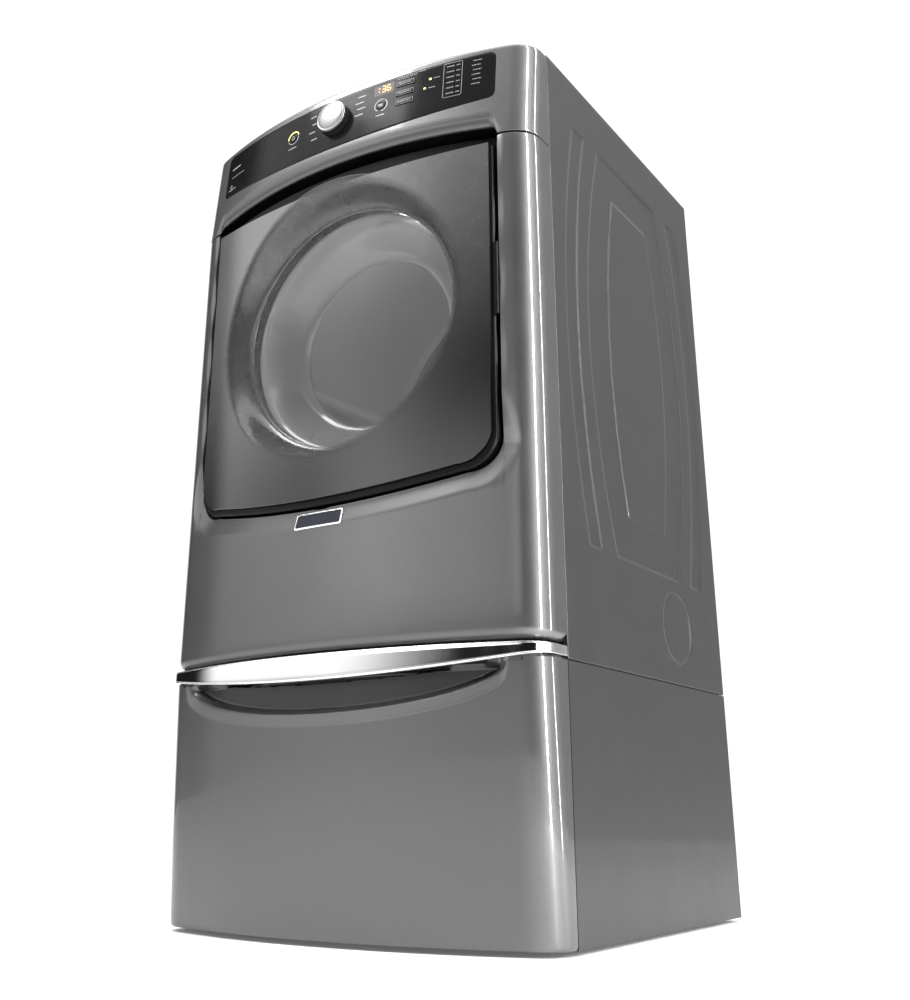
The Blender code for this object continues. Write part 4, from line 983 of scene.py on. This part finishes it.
def faint_marks():
    """The fainter print at the console's right end and over the option keys."""
    marks = bmesh.new()
    add_caption_column(marks, 0.264, 1.3370, 0.0095, 6, 0.014, 0.0018, -0.002)
    add_frame(marks, (0.223, 1.3080), (0.032, 0.070), 0.0007, 0.003)
    add_caption_column(marks, 0.219, 1.3360, 0.0110, 6, 0.013, 0.0020)
    add_caption_column(marks, 0.232, 1.3360, 0.0110, 6, 0.006, 0.0020)
    for number in range(5):
        add_ring(marks, (0.1265 + 0.0075 * number, 1.3400), 0.0028, 0.0007, steps=20)
    add_caption(marks, 0.168, 1.3420, 0.012, 0.0018)
    add_caption(marks, 0.1955, 1.3200, 0.011, 0.0016)
    add_caption(marks, 0.1870, 1.3020, 0.012, 0.0016)
    return make_object("console_faint_marks", marks, print_dim)


def status_lamps():
    lamps = bmesh.new()
    add_ring(lamps, POWER_PLACE, 0.0140, 0.0022, 20.0, 160.0)
    add_bar(lamps, 0.1840, 1.3200, 0.0042, 0.0036)
    add_bar(lamps, 0.1750, 1.3030, 0.0038, 0.0030)
    return make_object("status_lamps", lamps, yellow)


def display_digits():
    """A colon and two digits, set a little deeper than the printed marks."""
    digits = bmesh.new()
    x, z = DISPLAY_PLACE
    for shift, digit in ((0.0000, "3"), (0.0100, "6")):
        add_digit(digits, x + shift, z, digit)
    for height in (0.0032, -0.0032):
        add_bar(digits, x - 0.0085, z + height, 0.0016, 0.0018)
    piece = make_object("display_digits", digits, amber)
    piece.data.transform(Matrix.Translation(panel_normal(x) * -0.0003))
    return piece


def build_console_marks():
    """Captions, outlines and lamps of the console, all generic."""
    for piece in (bright_marks(), faint_marks(), status_lamps(), display_digits()):
        install(piece, "cabinet")


def raised(height):
    """Places marks on a face that stands a height above the panel."""
    return lambda x, z, lift: panel_point(x, z, lift + height)


def power_symbol(marks, x, z, place):
    add_ring(marks, (x, z), 0.0038, 0.0008, 125.0, 290.0, 24, place)
    add_bar(marks, x, z + 0.0028, 0.0008, 0.0036, place)


def start_symbol(marks, x, z, place):
    for shift in (0.0006, 0.0024):
        add_bar(marks, x + shift, z, 0.0010, 0.0048, place)
    left = x - 0.0035
    arrow = [((left, z - 0.0026), (left, z + 0.0026)),
             ((left + 0.0030, z - 0.0002), (left + 0.0030, z + 0.0002))]
    add_ribbon(marks, arrow, place)


def build_round_key(name, node, body, place, symbol):
    radius = BUTTON_RADIUS
    profile = [(0.0, -0.0058), (radius, -0.0058), (radius, 0.0006), (radius - 0.0002, 0.0010),
               (radius - 0.0007, 0.0012), (radius - 0.003, 0.0010), (0.0, 0.0009)]
    key = turned(name, profile, black_gloss, 64, panel_frame(place))
    install(key, body, node)
    marks = bmesh.new()
    symbol(marks, *place, raised(0.0009))
    install(make_object(f"{name}_symbol", marks, print_grey), body)


def build_option_key(number, height):
    """A long key with a printed outline and a short word."""
    body = f"option_button_{number}"
    place = (OPTION_X, height)
    key = rounded_block(f"option_key_{number}", OPTION_SIZE, -0.0058, 0.0012, 0.0015, 0.0004,
                        black_gloss, panel_frame(place))
    install(key, body, f"button_option_{number}")
    marks = bmesh.new()
    margin = 0.0011
    on_key = raised(0.0011)
    size = (OPTION_SIZE[0] - 2 * margin, OPTION_SIZE[1] - 2 * margin)
    add_frame(marks, place, size, 0.0005, 0.0016, on_key)
    for shift in even(-0.010, 0.010, 6):
        add_bar(marks, OPTION_X + shift, height, 0.0016, 0.0018, on_key)
    install(make_object(f"option_outline_{number}", marks, print_dim), body)


def build_buttons():
    """Round power and start keys and three long option keys."""
    build_round_key("power_key", "button_power", "power_button", POWER_PLACE, power_symbol)
    build_round_key("start_key", "button_start", "start_button", START_PLACE, start_symbol)
    for number, height in enumerate(OPTION_HEIGHTS, 1):
        build_option_key(number, height)


STEM_RADIUS = 0.008
KNOB_STEPS = 128


def knob_skirt(rim, at):
    profile = [(0.0, -0.0118), (STEM_RADIUS, -0.0118), (STEM_RADIUS, 0.0009), (KNOB_RADIUS, 0.0009),
               (KNOB_RADIUS, 0.0024), (KNOB_RADIUS - 0.0012, 0.0034),
               (KNOB_RADIUS - 0.0016, rim - 0.0052), (0.0, rim - 0.0052)]
    return turned("knob_skirt", profile, black_gloss, KNOB_STEPS, at)


def knob_ring(rim, at):
    """The ring's edge is round, with a small radius."""
    edge = 0.0026
    profile = [(0.0, rim - 0.0050), (KNOB_RADIUS - 0.0012, rim - 0.0050)]
    profile += [(KNOB_RADIUS - 0.0036 + edge * math.cos(turn), rim - 0.0022 + edge * math.sin(turn))
                for turn in even(-0.2, math.pi / 2 + 0.5, 10)]
    profile += [(KNOB_RADIUS - 0.0050, rim - 0.0010), (0.0, rim - 0.0010)]
    return turned("knob_ring", profile, brushed, KNOB_STEPS, at)


def knob_cap(rim, tip, at):
    radius = KNOB_RADIUS - 0.0048
    profile = [(0.0, rim - 0.0008), (radius, rim - 0.0008)]
    profile += [(radius * math.cos(turn), rim - 0.0002 + (tip - rim + 0.0002) * math.sin(turn))
                for turn in even(0.0, math.pi / 2, 14)]
    return turned("knob_cap", profile, brushed, KNOB_STEPS, at)


def build_knob():
    """A dark skirt, a metal ring and a domed brushed cap that reaches the machine's full depth."""
    at = panel_frame(KNOB_PLACE)
    reach = (DEPTH - console_depth(KNOB_PLACE[1])) * math.hypot(1, CONSOLE_SLOPE)
    dome = 0.024
    tip = reach - dome * CONSOLE_SLOPE + 0.0005
    rim = tip - 0.0030
    install(knob_skirt(rim, at), "knob")
    install(knob_ring(rim, at), "knob")
    install(knob_cap(rim, tip, at), "knob", "control_knob")


# --- door -----------------------------------------------------------------------------------------

def glass_top(x):
    return GLASS_TOP + GLASS_TOP_BOW * x * x


def outward(x):
    return Vector((x, -math.sqrt(BOW_RADIUS ** 2 - x * x), 0.0)).normalized()


def build_door_pane():
    columns = corner_columns(GLASS_HALF, DOOR_CORNER, 48, 16)
    low = lower_edge(GLASS_BOTTOM, GLASS_HALF)

    def point(x, z):
        sink = roll(edge_gap(x, z, GLASS_HALF, low, glass_top), 0.0010)
        return on_bow(x, DOOR_DEPTH, z) - outward(x) * sink, -outward(x)

    lines = pane_columns(columns, low, glass_top, 40, point)
    pane = closed_plate("door_pane", lines, GLASS_THICKNESS - 0.0022, door_glass)
    install(pane, "door", "door_glass")


def ledge_height(x):
    """The line just under the glass's top edge, above which the moulding steps back."""
    return glass_top(x) - 0.002


def door_outline():
    """The door's outer edge as (x, z) points, anticlockwise seen from the front."""
    columns = corner_columns(DOOR_HALF, DOOR_CORNER, 36, 14)
    low = lower_edge(DOOR_BOTTOM, DOOR_HALF)
    top = upper_edge(BROW_EDGE - 0.006, DOOR_HALF, BROW_BOW, 0.012)
    top_columns = corner_columns(DOOR_HALF, 0.012, 36, 6)
    ledge = ledge_height(DOOR_HALF)
    rise = even(low(DOOR_HALF), ledge - 0.0004, 26)[1:] + even(ledge + 0.0004, top(DOOR_HALF), 4)[:-1]
    points = [(x, low(x)) for x in columns]
    points += [(DOOR_HALF, z) for z in rise]
    points += [(x, top(x)) for x in reversed(top_columns)]
    points += [(-DOOR_HALF, z) for z in reversed(rise)]
    return points


def crossing(edge, inner):
    """How far along a line from the door's edge inwards the ledge is crossed."""
    low = 0.0
    high = 1.0
    for _ in range(20):
        middle = (low + high) / 2
        here = edge.lerp(inner, middle)
        if here.z > ledge_height(here.x):
            low = middle
        else:
            high = middle
    return high


def build_door_ring():
    """The black moulding behind the glass: outer wall, grip step and the dished window ring."""
    face = DOOR_DEPTH - GLASS_THICKNESS - 0.0008
    window = WINDOW_RADIUS + 0.0005
    rear = 0.6465
    step_depth = 0.020
    rim = 0.0025

    def skin(point, sunk=0.0):
        return spot(point.x, face - bow_drop(point.x) - sunk, point.z)

    lines = []
    for x, z in door_outline():
        angle = math.atan2(z - DRUM_Z, x)

        def ring(radius, depth):
            return spot(radius * math.cos(angle), depth, DRUM_Z + radius * math.sin(angle))

        flat = face - bow_drop(DISH_RADIUS * math.cos(angle))
        edge = Vector((x, 0, z))
        inner = ring(DISH_RADIUS, BACK)
        sunk = step_depth if z > ledge_height(x) else 0.0
        first = rim / (inner - edge).length
        turn = first + 0.01
        if sunk:
            turn = max(crossing(edge, inner), turn)
        line = [spot(x, rear, z), skin(edge, sunk) + Vector((0, rim, 0))]
        line += [skin(edge.lerp(inner, share), sunk) for share in even(first, turn, 3)]
        line += [skin(edge.lerp(inner, share)) for share in even(turn + 0.0005, 0.96, 9)]
        for share in even(0.0, 1.0, 12):
            fall = (flat - WINDOW_DEPTH - 0.002) * smooth(0.0, 1.0, share)
            line.append(ring(DISH_RADIUS + (window - DISH_RADIUS) * share, flat - fall))
        line.append(ring(window - 0.001, WINDOW_DEPTH - 0.001))
        line.append(ring(window, 0.653))
        line.append(ring(window + 0.003, rear))
        lines.append(line + line[:1])
    mesh_data = bmesh.new()
    add_patch(mesh_data, lines, closed=True)
    ring_piece = make_object("door_ring", mesh_data, black_frame)
    ring_piece.data.materials.append(dish_black)
    for polygon in ring_piece.data.polygons:
        if math.hypot(polygon.center.x, polygon.center.z - DRUM_Z) < DISH_RADIUS + 0.003:
            polygon.material_index = 1
    install(ring_piece, "door", "door_frame")


def front_to_back(x, z):
    """Turns local Z into the forward direction through a centre, so heights are depths."""
    return Matrix.Translation((x, BACK, z)) @ Matrix.Rotation(math.pi / 2, 4, "X")


def build_door_bowl():
    """The bowl from its flange round the outside to the flat bottom, and back up the inside."""
    profile = [(0.2075, 0.6465), (0.2075, 0.6500), (0.2040, 0.6500), (0.1980, 0.6430), (0.1800, 0.6170),
               (0.1660, 0.5965), (0.1600, 0.5905), (0.1520, 0.5870), (0.1450, 0.5855), (0.0, 0.5840),
               (0.0, 0.5805), (0.1460, 0.5817), (0.1535, 0.5828), (0.1620, 0.5868), (0.1690, 0.5935),
               (0.1830, 0.6150), (0.2010, 0.6400)]
    bowl = turned("door_inner_bowl", profile, clear_glass, 128, front_to_back(0, DRUM_Z), 50)
    install(bowl, "door", "door_bowl")


def build_window_trim():
    """A thin metal ring where the bowl meets the door moulding."""
    profile = [(WINDOW_RADIUS - 0.0018 * math.cos(turn), WINDOW_DEPTH + 0.0005 + 0.0018 * math.sin(turn))
               for turn in even(0.0, math.tau, 12)[:-1]]
    ring = turned("window_ring", profile, smoked_metal, 128, front_to_back(0, DRUM_Z))
    install(ring, "door")


# --- drum -------------------------------------------------------------------------------------------

def build_drum_shell():
    outer = DRUM_RADIUS - 0.0004
    inner = outer - 0.0018
    profile = [(outer, 0.090), (outer, 0.590), (0.268, 0.590), (0.266, 0.588), (0.268, 0.586),
               (inner - 0.004, 0.586), (inner, 0.582), (inner, 0.0925), (0.300, 0.0925), (0.300, 0.090)]
    shell = turned("drum_shell", profile, drum_paint, 128, front_to_back(0, DRUM_Z))
    install(shell, "drum_body", "drum")


FIN_RADIUS = DRUM_RADIUS - 0.0035
FIN_REAR = 0.101
FIN_FRONT = 0.564


def fin_line(share):
    """One cross-section of a fin as (across, height) points, from its rear end 0 to its nose 1."""
    nose_length = 0.14
    past = max(share - (1.0 - nose_length), 0.0) / nose_length
    nose = math.sqrt(max(1.0 - past ** 2, 0.0))
    half = (0.060 - 0.024 * share) * (0.55 + 0.45 * nose)
    rise = 0.012 + (0.068 - 0.030 * share) * nose
    points = []
    for place in even(-1.0, 1.0, 16):
        drop = FIN_RADIUS - math.sqrt(FIN_RADIUS ** 2 - (place * half) ** 2) + 0.0008
        height = drop + (rise - drop) * math.cos(math.pi / 2 * place) ** 1.3
        points.append((place * half, height))
    return points


def build_fins():
    """Lifting fins: rounded ridges that narrow and fall away towards the door."""
    for number in range(1, 4):
        angle = math.radians(120 * number - 60)
        out = Vector((math.cos(angle), 0, math.sin(angle)))
        across = Vector((-math.sin(angle), 0, math.cos(angle)))
        lines = []
        for share in rounded(0.0, 1.0, 24):
            axis = spot(0, FIN_REAR + (FIN_FRONT - FIN_REAR) * share, DRUM_Z)
            lines.append([axis + out * (FIN_RADIUS - height) + across * aside
                          for aside, height in fin_line(share)])
        mesh_data = bmesh.new()
        grid = add_patch(mesh_data, lines)
        for line in (grid[0], grid[-1]):
            mesh_data.faces.new(line)
        for first, second in zip(grid, grid[1:]):
            mesh_data.faces.new((first[0], second[0], second[-1], first[-1]))
        fin = make_object(f"lifting_fin_{number}", mesh_data, pale_plastic)
        install(fin, "drum_body", f"drum_fin_{number}")


# --- side panels ------------------------------------------------------------------------------------

# The pressed lines stand at these distances from the panel's middle, measured at half height.
PLATEAU_LANE = 0.110
BARREL_LANE = 0.187
RIB_LANES = (0.226, 0.264)
PLATEAU_HALF = 0.288
EMBOSS = 0.0020
EDGE = 0.0040


def pull_in(lane, z):
    """How the pressed lines draw together towards their ends, the inner ones the most."""
    knots = ((0.0, 0.30), (0.05, 0.38), (PLATEAU_LANE, 0.4545), (BARREL_LANE, 0.652),
             (RIB_LANES[0], 0.783), (RIB_LANES[1], 0.820), (0.306, 1.0))
    size = abs(lane)
    ratio = 1.0
    for (a, low), (b, high) in zip(knots, knots[1:]):
        if a <= size <= b:
            ratio = low + (high - low) * (size - a) / (b - a)
    height = min(abs(z - PRESS_Z) / PRESS_HALF, 1.0)
    return lane * (1.0 - (1.0 - ratio) * height * height)


def within(limit, value):
    """1 inside a pressed line and 0 outside it, across the width of its slope."""
    return 1.0 - smooth(limit - EDGE, limit + EDGE, value)


def pressing(lane, z):
    """How deep the panel is pressed in at a lane and height."""
    size = abs(lane)
    up = abs(z - PRESS_Z)
    rib = (1.0 - within(RIB_LANES[0], size)) * within(RIB_LANES[1], size)
    plateau = within(PLATEAU_LANE, size) * within(PLATEAU_HALF, up)
    return EMBOSS * within(PRESS_HALF, up) * max(rib, within(BARREL_LANE, size) * (1.0 - plateau))


STRIP_REACH = 0.004              # how far a strip reaches past the middle of its joint


def build_seam_shade_strips(side, label):
    """Dark strips behind the joints at the side panel: painted shade, so that the gaps read as dark lines.
    """
    inward = Vector((-side, 0, 0))

    def upright(low, high, first, last):
        return [[(spot(side * (HALF - 0.0010), depth, z), inward) for z in even(low, high, 8)]
                for depth in even(first, last, 2)]

    def across_corner(place):
        direction = Vector((0, 1, 0)) if place < 1.4 else inward
        return [(surface_point(side * place, z, FRONT_DEPTH, 0.0020), direction)
                for z in even(SEAM - STRIP_REACH, SEAM + STRIP_REACH, 2)]

    rear = SIDE_DEPTH - STRIP_REACH
    strips = (
        upright(PEDESTAL_TOP + 0.001, HEIGHT - 0.003, rear, SIDE_DEPTH + STRIP_REACH),
        upright(0.012, PEDESTAL_TOP - 0.002, rear, SIDE_DEPTH + 0.0008),
        upright(PEDESTAL_TOP + 0.0004, PEDESTAL_TOP + 0.006, 0.004, rear),
        [across_corner(place) for place in outer_places(station(OPENING_HALF + STRIP_REACH))],
    )
    for number, columns in enumerate(strips, 1):
        # Painted shade: a black strip set behind each gap so that it reads dark.
        strip = closed_plate(f"seam_shade_strip_{label}_{number}", columns, 0.0008, black_frame)
        install(strip, "cabinet")


def cut_knockout(panel):
    """A round groove pressed in the right side, low down at the back."""
    profile = [(0.0580, 0.0002), (0.0595, -0.0005), (0.0610, 0.0002), (0.0595, 0.0010)]
    turn = Matrix.Rotation(math.pi / 2, 4, "Y")
    cutter = turned("cutter", profile, side_paint, 96,
                    Matrix.Translation((HALF, back(0.196), 0.465)) @ turn)
    carve(panel, [cutter], 50)


def build_side_panel(side, label):
    """A pressed side panel; its grid lines follow the curved pressings."""
    bottom = PEDESTAL_TOP + 0.0014
    front = SIDE_DEPTH - 0.0014
    slope = EDGE + 0.0015
    lanes = [0.0, 0.03, 0.06, 0.09, 0.13, 0.15, 0.17, 0.205, 0.245]
    for middle in (PLATEAU_LANE, BARREL_LANE) + RIB_LANES:
        lanes += even(middle - slope, middle + slope, 6)
    lanes = sorted(lanes)
    lanes = [-lane for lane in reversed(lanes[1:])] + lanes
    rows = set(even(bottom, HEIGHT, 84))
    for up in (PRESS_HALF, PLATEAU_HALF):
        for sign in (1, -1):
            rows.update(PRESS_Z + sign * height for height in even(up - slope, up + slope, 6))
    edge = 0.0014
    inner_rows = [z for z in sorted(rows) if bottom + edge < z < HEIGHT - edge]
    rows = even(bottom, bottom + edge, 3) + inner_rows + even(HEIGHT - edge, HEIGHT, 3)
    ends = even(0.0, edge, 3)

    def at(depth, z, sink=0.0):
        sink += roll(min(depth, front - depth, z - bottom, HEIGHT - z), edge)
        return spot(side * (HALF - sink), depth, z)

    lines = [[at(depth, z) for z in rows] for depth in ends + [0.006]]
    lines += [[at(PRESS_CENTRE + pull_in(lane, z), z, pressing(lane, z)) for z in rows] for lane in lanes]
    lines += [[at(front - depth, z) for z in rows] for depth in [0.012, 0.006] + ends[::-1]]
    mesh_data = bmesh.new()
    add_patch(mesh_data, lines)
    panel = make_object(f"pressed_side_{label}", mesh_data, side_paint, 50)
    thicken(panel, 0.0009, 50)
    if side > 0:
        cut_knockout(panel)
    install(panel, "cabinet", f"side_panel_{label}")


# --- pedestal ---------------------------------------------------------------------------------------

def trim_bottom(x):
    return 0.351 + 0.19 * x * x


def drawer_depth(z):
    """Depth of the drawer's face: it leans back below and rolls in at the floor."""
    share = (z - FOOT_HEIGHT) / (TRIM_TOP - FOOT_HEIGHT)
    return DRAWER_FOOT_DEPTH + (DRAWER_DEPTH - DRAWER_FOOT_DEPTH) * share ** 0.8


TRIM_SEAT = 0.0070               # how far the drawer's face lies behind the trim
SCOOP_HALF = 0.303
SCOOP_DEPTH = 0.024
SCOOP_LIP = 0.020
SCOOP_SLOPE = 0.40


def scoop_depth(x, z):
    """The finger scoop: a lip that slopes back gently, then a hollow with an upright back."""
    flat = 1.0 - (x / SCOOP_HALF) ** 2
    if flat <= 0:
        return 0.0
    up = max(z - 0.353 + 0.066 * flat ** 0.5, 0.0)
    reach = min(up, SCOOP_LIP)
    lip = SCOOP_SLOPE * reach * reach / (reach + 0.003)
    hollow = (SCOOP_DEPTH - SCOOP_SLOPE * SCOOP_LIP) * smooth(SCOOP_LIP - 0.002, SCOOP_LIP + 0.008, up)
    return (lip + hollow) * smooth(0.0, 0.16, flat)


def build_drawer_face():
    """The bowed drawer front with its finger scoop below the bright trim."""
    low = FOOT_HEIGHT + 0.0005
    high = TRIM_TOP - 0.0025
    foot_roll = 0.006
    rows = [low + foot_roll * (1 - math.cos(turn)) for turn in even(0.0, math.pi / 2, 6)]
    rows += even(rows[-1], 0.286, 16)[1:] + even(0.286, 0.358, 48)[1:] + even(0.358, high, 5)[1:]
    middle = [station(x) for x in corner_columns(SCOOP_HALF, 0.080, 50, 16)]
    outer = outer_places(station(SCOOP_HALF))[1:]
    lines = []
    for place in whole_front(middle, outer):
        x = station_x(place, DRAWER_DEPTH)
        line = []
        for z in rows:
            inset = roll(z - low, foot_roll) * 0.7
            if z > trim_bottom(x) - 0.001:
                inset += TRIM_SEAT
            if abs(x) < SCOOP_HALF:
                inset += scoop_depth(x, z) * (1.0 - smooth(0.356, 0.372, z))
            line.append(surface_point(place, z, drawer_depth(z), inset, SIDE_DEPTH + 0.0014))
        lines.append(line)
    mesh_data = bmesh.new()
    add_patch(mesh_data, lines)
    face = make_object("drawer_face", mesh_data, paint)
    # The scoop's deepest faces take the darker copy of the paint: painted shade.
    face.data.materials.append(painted_shade_paint)
    for polygon in face.data.polygons:
        if scoop_depth(polygon.center.x, polygon.center.z) > 0.9 * SCOOP_DEPTH:
            polygon.material_index = 1
    thicken(face, 0.003)
    install(face, "drawer", "drawer_front")


def band_piece(name, places, low, high, outer_inset, thickness, material, edge=0.0012):
    """A strip round the front with softened edges."""
    columns = []
    for place in places:
        (x, _), (out_x, out_y) = front_point(place, TRIM_DEPTH)
        rows = even(low(x), low(x) + edge, 3) + even(low(x) + edge, high - edge, 6)[1:]
        rows += even(high - edge, high, 3)[1:]
        line = []
        for z in rows:
            sink = roll(min(z - low(x), high - z), edge) + outer_inset
            line.append((surface_point(place, z, TRIM_DEPTH, sink), Vector((-out_x, -out_y, 0))))
        columns.append(line)
    return closed_plate(name, columns, thickness, material)


def build_trim():
    """The bright strip: a carrier with end caps round the corners and a mirror insert."""
    end = station(0.302)
    everywhere = whole_front(even(-end, end, 60), outer_places(end)[1:])
    carrier = band_piece("trim_carrier", everywhere, trim_bottom, TRIM_TOP, 0.0006, 0.004, satin_cap)
    insert_end = 1.42
    insert = even(-insert_end, -end, 8) + even(-end, end, 70)[1:] + even(end, insert_end, 8)[1:]
    mirror = band_piece("trim_insert", insert, lambda x: trim_bottom(x) + 0.0022, TRIM_TOP - 0.0022,
                        0.0, 0.002, chrome, 0.0008)
    install(carrier, "drawer", "drawer_trim")
    install(mirror, "drawer")


BADGE_HALF = 0.045
BADGE_TALL = 0.013
BADGE_Z = 0.591
BADGE_CORNER = 0.003


def badge_plate(name, inset, lift, thickness, material):
    """A small plate that follows the dished front, smaller all round by the inset."""
    outline = opening_outline(SEAM)
    half = BADGE_HALF - inset
    low = lower_edge(BADGE_Z - BADGE_TALL + inset, half, 0.0, BADGE_CORNER)
    high = upper_edge(BADGE_Z + BADGE_TALL - inset, half, 0.0, BADGE_CORNER)

    def point(x, z):
        sink = roll(edge_gap(x, z, half, low, high), 0.0008)
        fall = dish_drop(x, z, outline)
        return on_bow(x, FRONT_DEPTH, z) + outward(x) * (lift - sink - fall), -outward(x)

    columns = corner_columns(half, BADGE_CORNER, 16, 4)
    return closed_plate(name, pane_columns(columns, low, high, 8, point), thickness, material)


def build_badge():
    """A plain plate below the door: a bright rim round a dark field, with no words."""
    rim = badge_plate("badge_rim", 0.0, 0.0022, 0.0020, satin_cap)
    field = badge_plate("badge_face", 0.0022, 0.0026, 0.0010, badge_field)
    install(rim, "cabinet", "badge_plate")
    install(field, "cabinet")


# --- studio -----------------------------------------------------------------------------------------

def build_camera():
    """Low down, in front and to the machine's right, and tilted up."""
    data = bpy.data.cameras.new("camera")
    data.sensor_width = 36.0
    data.lens = 40.53
    data.shift_x = 0.0152
    data.shift_y = -0.0768
    camera = link_object("camera", data)
    camera.location = (1.0651, -1.6340, 0.1690)
    camera.rotation_euler = (math.pi / 2 + 0.3348, 0.0, 0.5844)
    bpy.context.scene.camera = camera


def build_floor():
    """A pale floor that glows faintly, as the photo's ground has no dark side."""
    mesh_data = bmesh.new()
    bmesh.ops.create_grid(mesh_data, x_segments=1, y_segments=1, size=6.0)
    look = surface("pale floor", (0.90, 0.90, 0.90), 0.01, (0.55, 0.65), grain=300.0, bump=0.02)
    tree = look.node_tree
    feed(tree, tree.nodes["Principled BSDF"], Emission_Color=(1.0, 1.0, 1.0, 1.0), Emission_Strength=0.11)
    make_object("floor", mesh_data, look)


def area_light(name, place, target, size, power):
    data = bpy.data.lights.new(name, "AREA")
    data.shape = "RECTANGLE"
    data.size = size[0]
    data.size_y = size[1]
    data.energy = power
    light = link_object(name, data)
    light.location = place
    aim = Vector(target) - Vector(place)
    light.rotation_euler = aim.to_track_quat("-Z", "Y").to_euler()


def point_light(name, place, power):
    data = bpy.data.lights.new(name, "POINT")
    data.energy = power
    data.shadow_soft_size = 0.03
    link_object(name, data).location = place


BASE_LIGHT = 0.012


def build_world():
    """A soft studio surround of dim base light and five brighter zones."""
    world = bpy.data.worlds.new("studio")
    world.use_nodes = True
    tree = world.node_tree
    coords = add_node(tree, "TexCoord")
    split = add_node(tree, "SeparateXYZ", Vector=coords.outputs["Generated"])
    x, y, height = (split.outputs[axis] for axis in "XYZ")
    minus_x = calculate(tree, "MULTIPLY", x, -1.0)
    minus_y = calculate(tree, "MULTIPLY", y, -1.0)
    azimuth = calculate(tree, "ARCTAN2", minus_x, minus_y)    # 0 in front, growing to the left

    def zone(strength, *limits):
        """A patch of light; each limit fades it between two values of a coordinate."""
        total = strength
        for limit in limits:
            total = calculate(tree, "MULTIPLY", map_range(tree, *limit, soft=True), total)
        return total

    total = BASE_LIGHT
    zones = (
        # front left, low in front, a band above that, behind, overhead
        zone(1.55, (azimuth, 0.05, 0.65, 0.0, 1.0), (azimuth, 1.17, 1.32, 1.0, 0.0),
             (height, -0.02, 0.24, 0.42, 1.0)),
        zone(0.30, (azimuth, -0.60, 0.00, 0.0, 1.0), (azimuth, 0.35, 0.80, 1.0, 0.0),
             (height, 0.02, 0.09, 1.0, 0.0)),
        zone(2.4, (azimuth, -0.50, 0.10, 0.0, 1.0), (azimuth, 0.35, 0.80, 1.0, 0.0),
             (height, 0.14, 0.20, 0.0, 1.0), (height, 0.28, 0.40, 1.0, 0.0)),
        zone(1.1, (y, 0.10, 0.45, 0.0, 1.0), (x, -0.02, 0.30, 1.0, 0.30)),
        zone(1.0, (height, 0.60, 0.95, 0.0, 1.0)),
    )
    for part in zones:
        total = calculate(tree, "ADD", part, total)
    feed(tree, tree.nodes["Background"], Strength=total, Color=(1.0, 1.0, 1.0, 1.0))
    bpy.context.scene.world = world


def build_studio():
    build_camera()
    build_floor()
    build_world()
    area_light("edge strip", (2.6, -0.75, 2.1), (0.33, -0.28, 2.1), (0.14, 5.0), 170.0)
    area_light("second strip", (2.6, 0.75, 2.1), (0.33, -0.28, 2.1), (0.07, 5.0), 50.0)
    point_light("drum lamp", (0.0, back(0.50), 1.16), 1.3)
    area_light("top light", (0.2, -0.6, 3.4), (0.0, 0.0, 0.6), (2.4, 2.0), 30.0)
    area_light("front softbox", (-0.9, -1.5, 3.3), (0.0, -0.35, 0.5), (1.2, 1.0), 55.0)
    bpy.context.scene.view_settings.view_transform = "Standard"


def build_cabinet():
    install(build_front_skin(), "cabinet", "front_panel")
    install(build_recess_pan(), "cabinet")
    install(build_console_shell(), "cabinet", "console_housing")
    install(build_brow_underside(), "cabinet")
    install(build_control_fascia(), "cabinet", "control_panel")
    for side, label in ((1, "right"), (-1, "left")):
        build_side_panel(side, label)
        build_seam_shade_strips(side, label)
    build_badge()


def build_door():
    build_door_pane()
    build_door_ring()
    build_door_bowl()
    build_window_trim()


dress_cad_nodes()
build_cabinet()
build_console_marks()
build_buttons()
build_knob()
build_door()
build_drum_shell()
build_fins()
build_drawer_face()
build_trim()
build_studio()
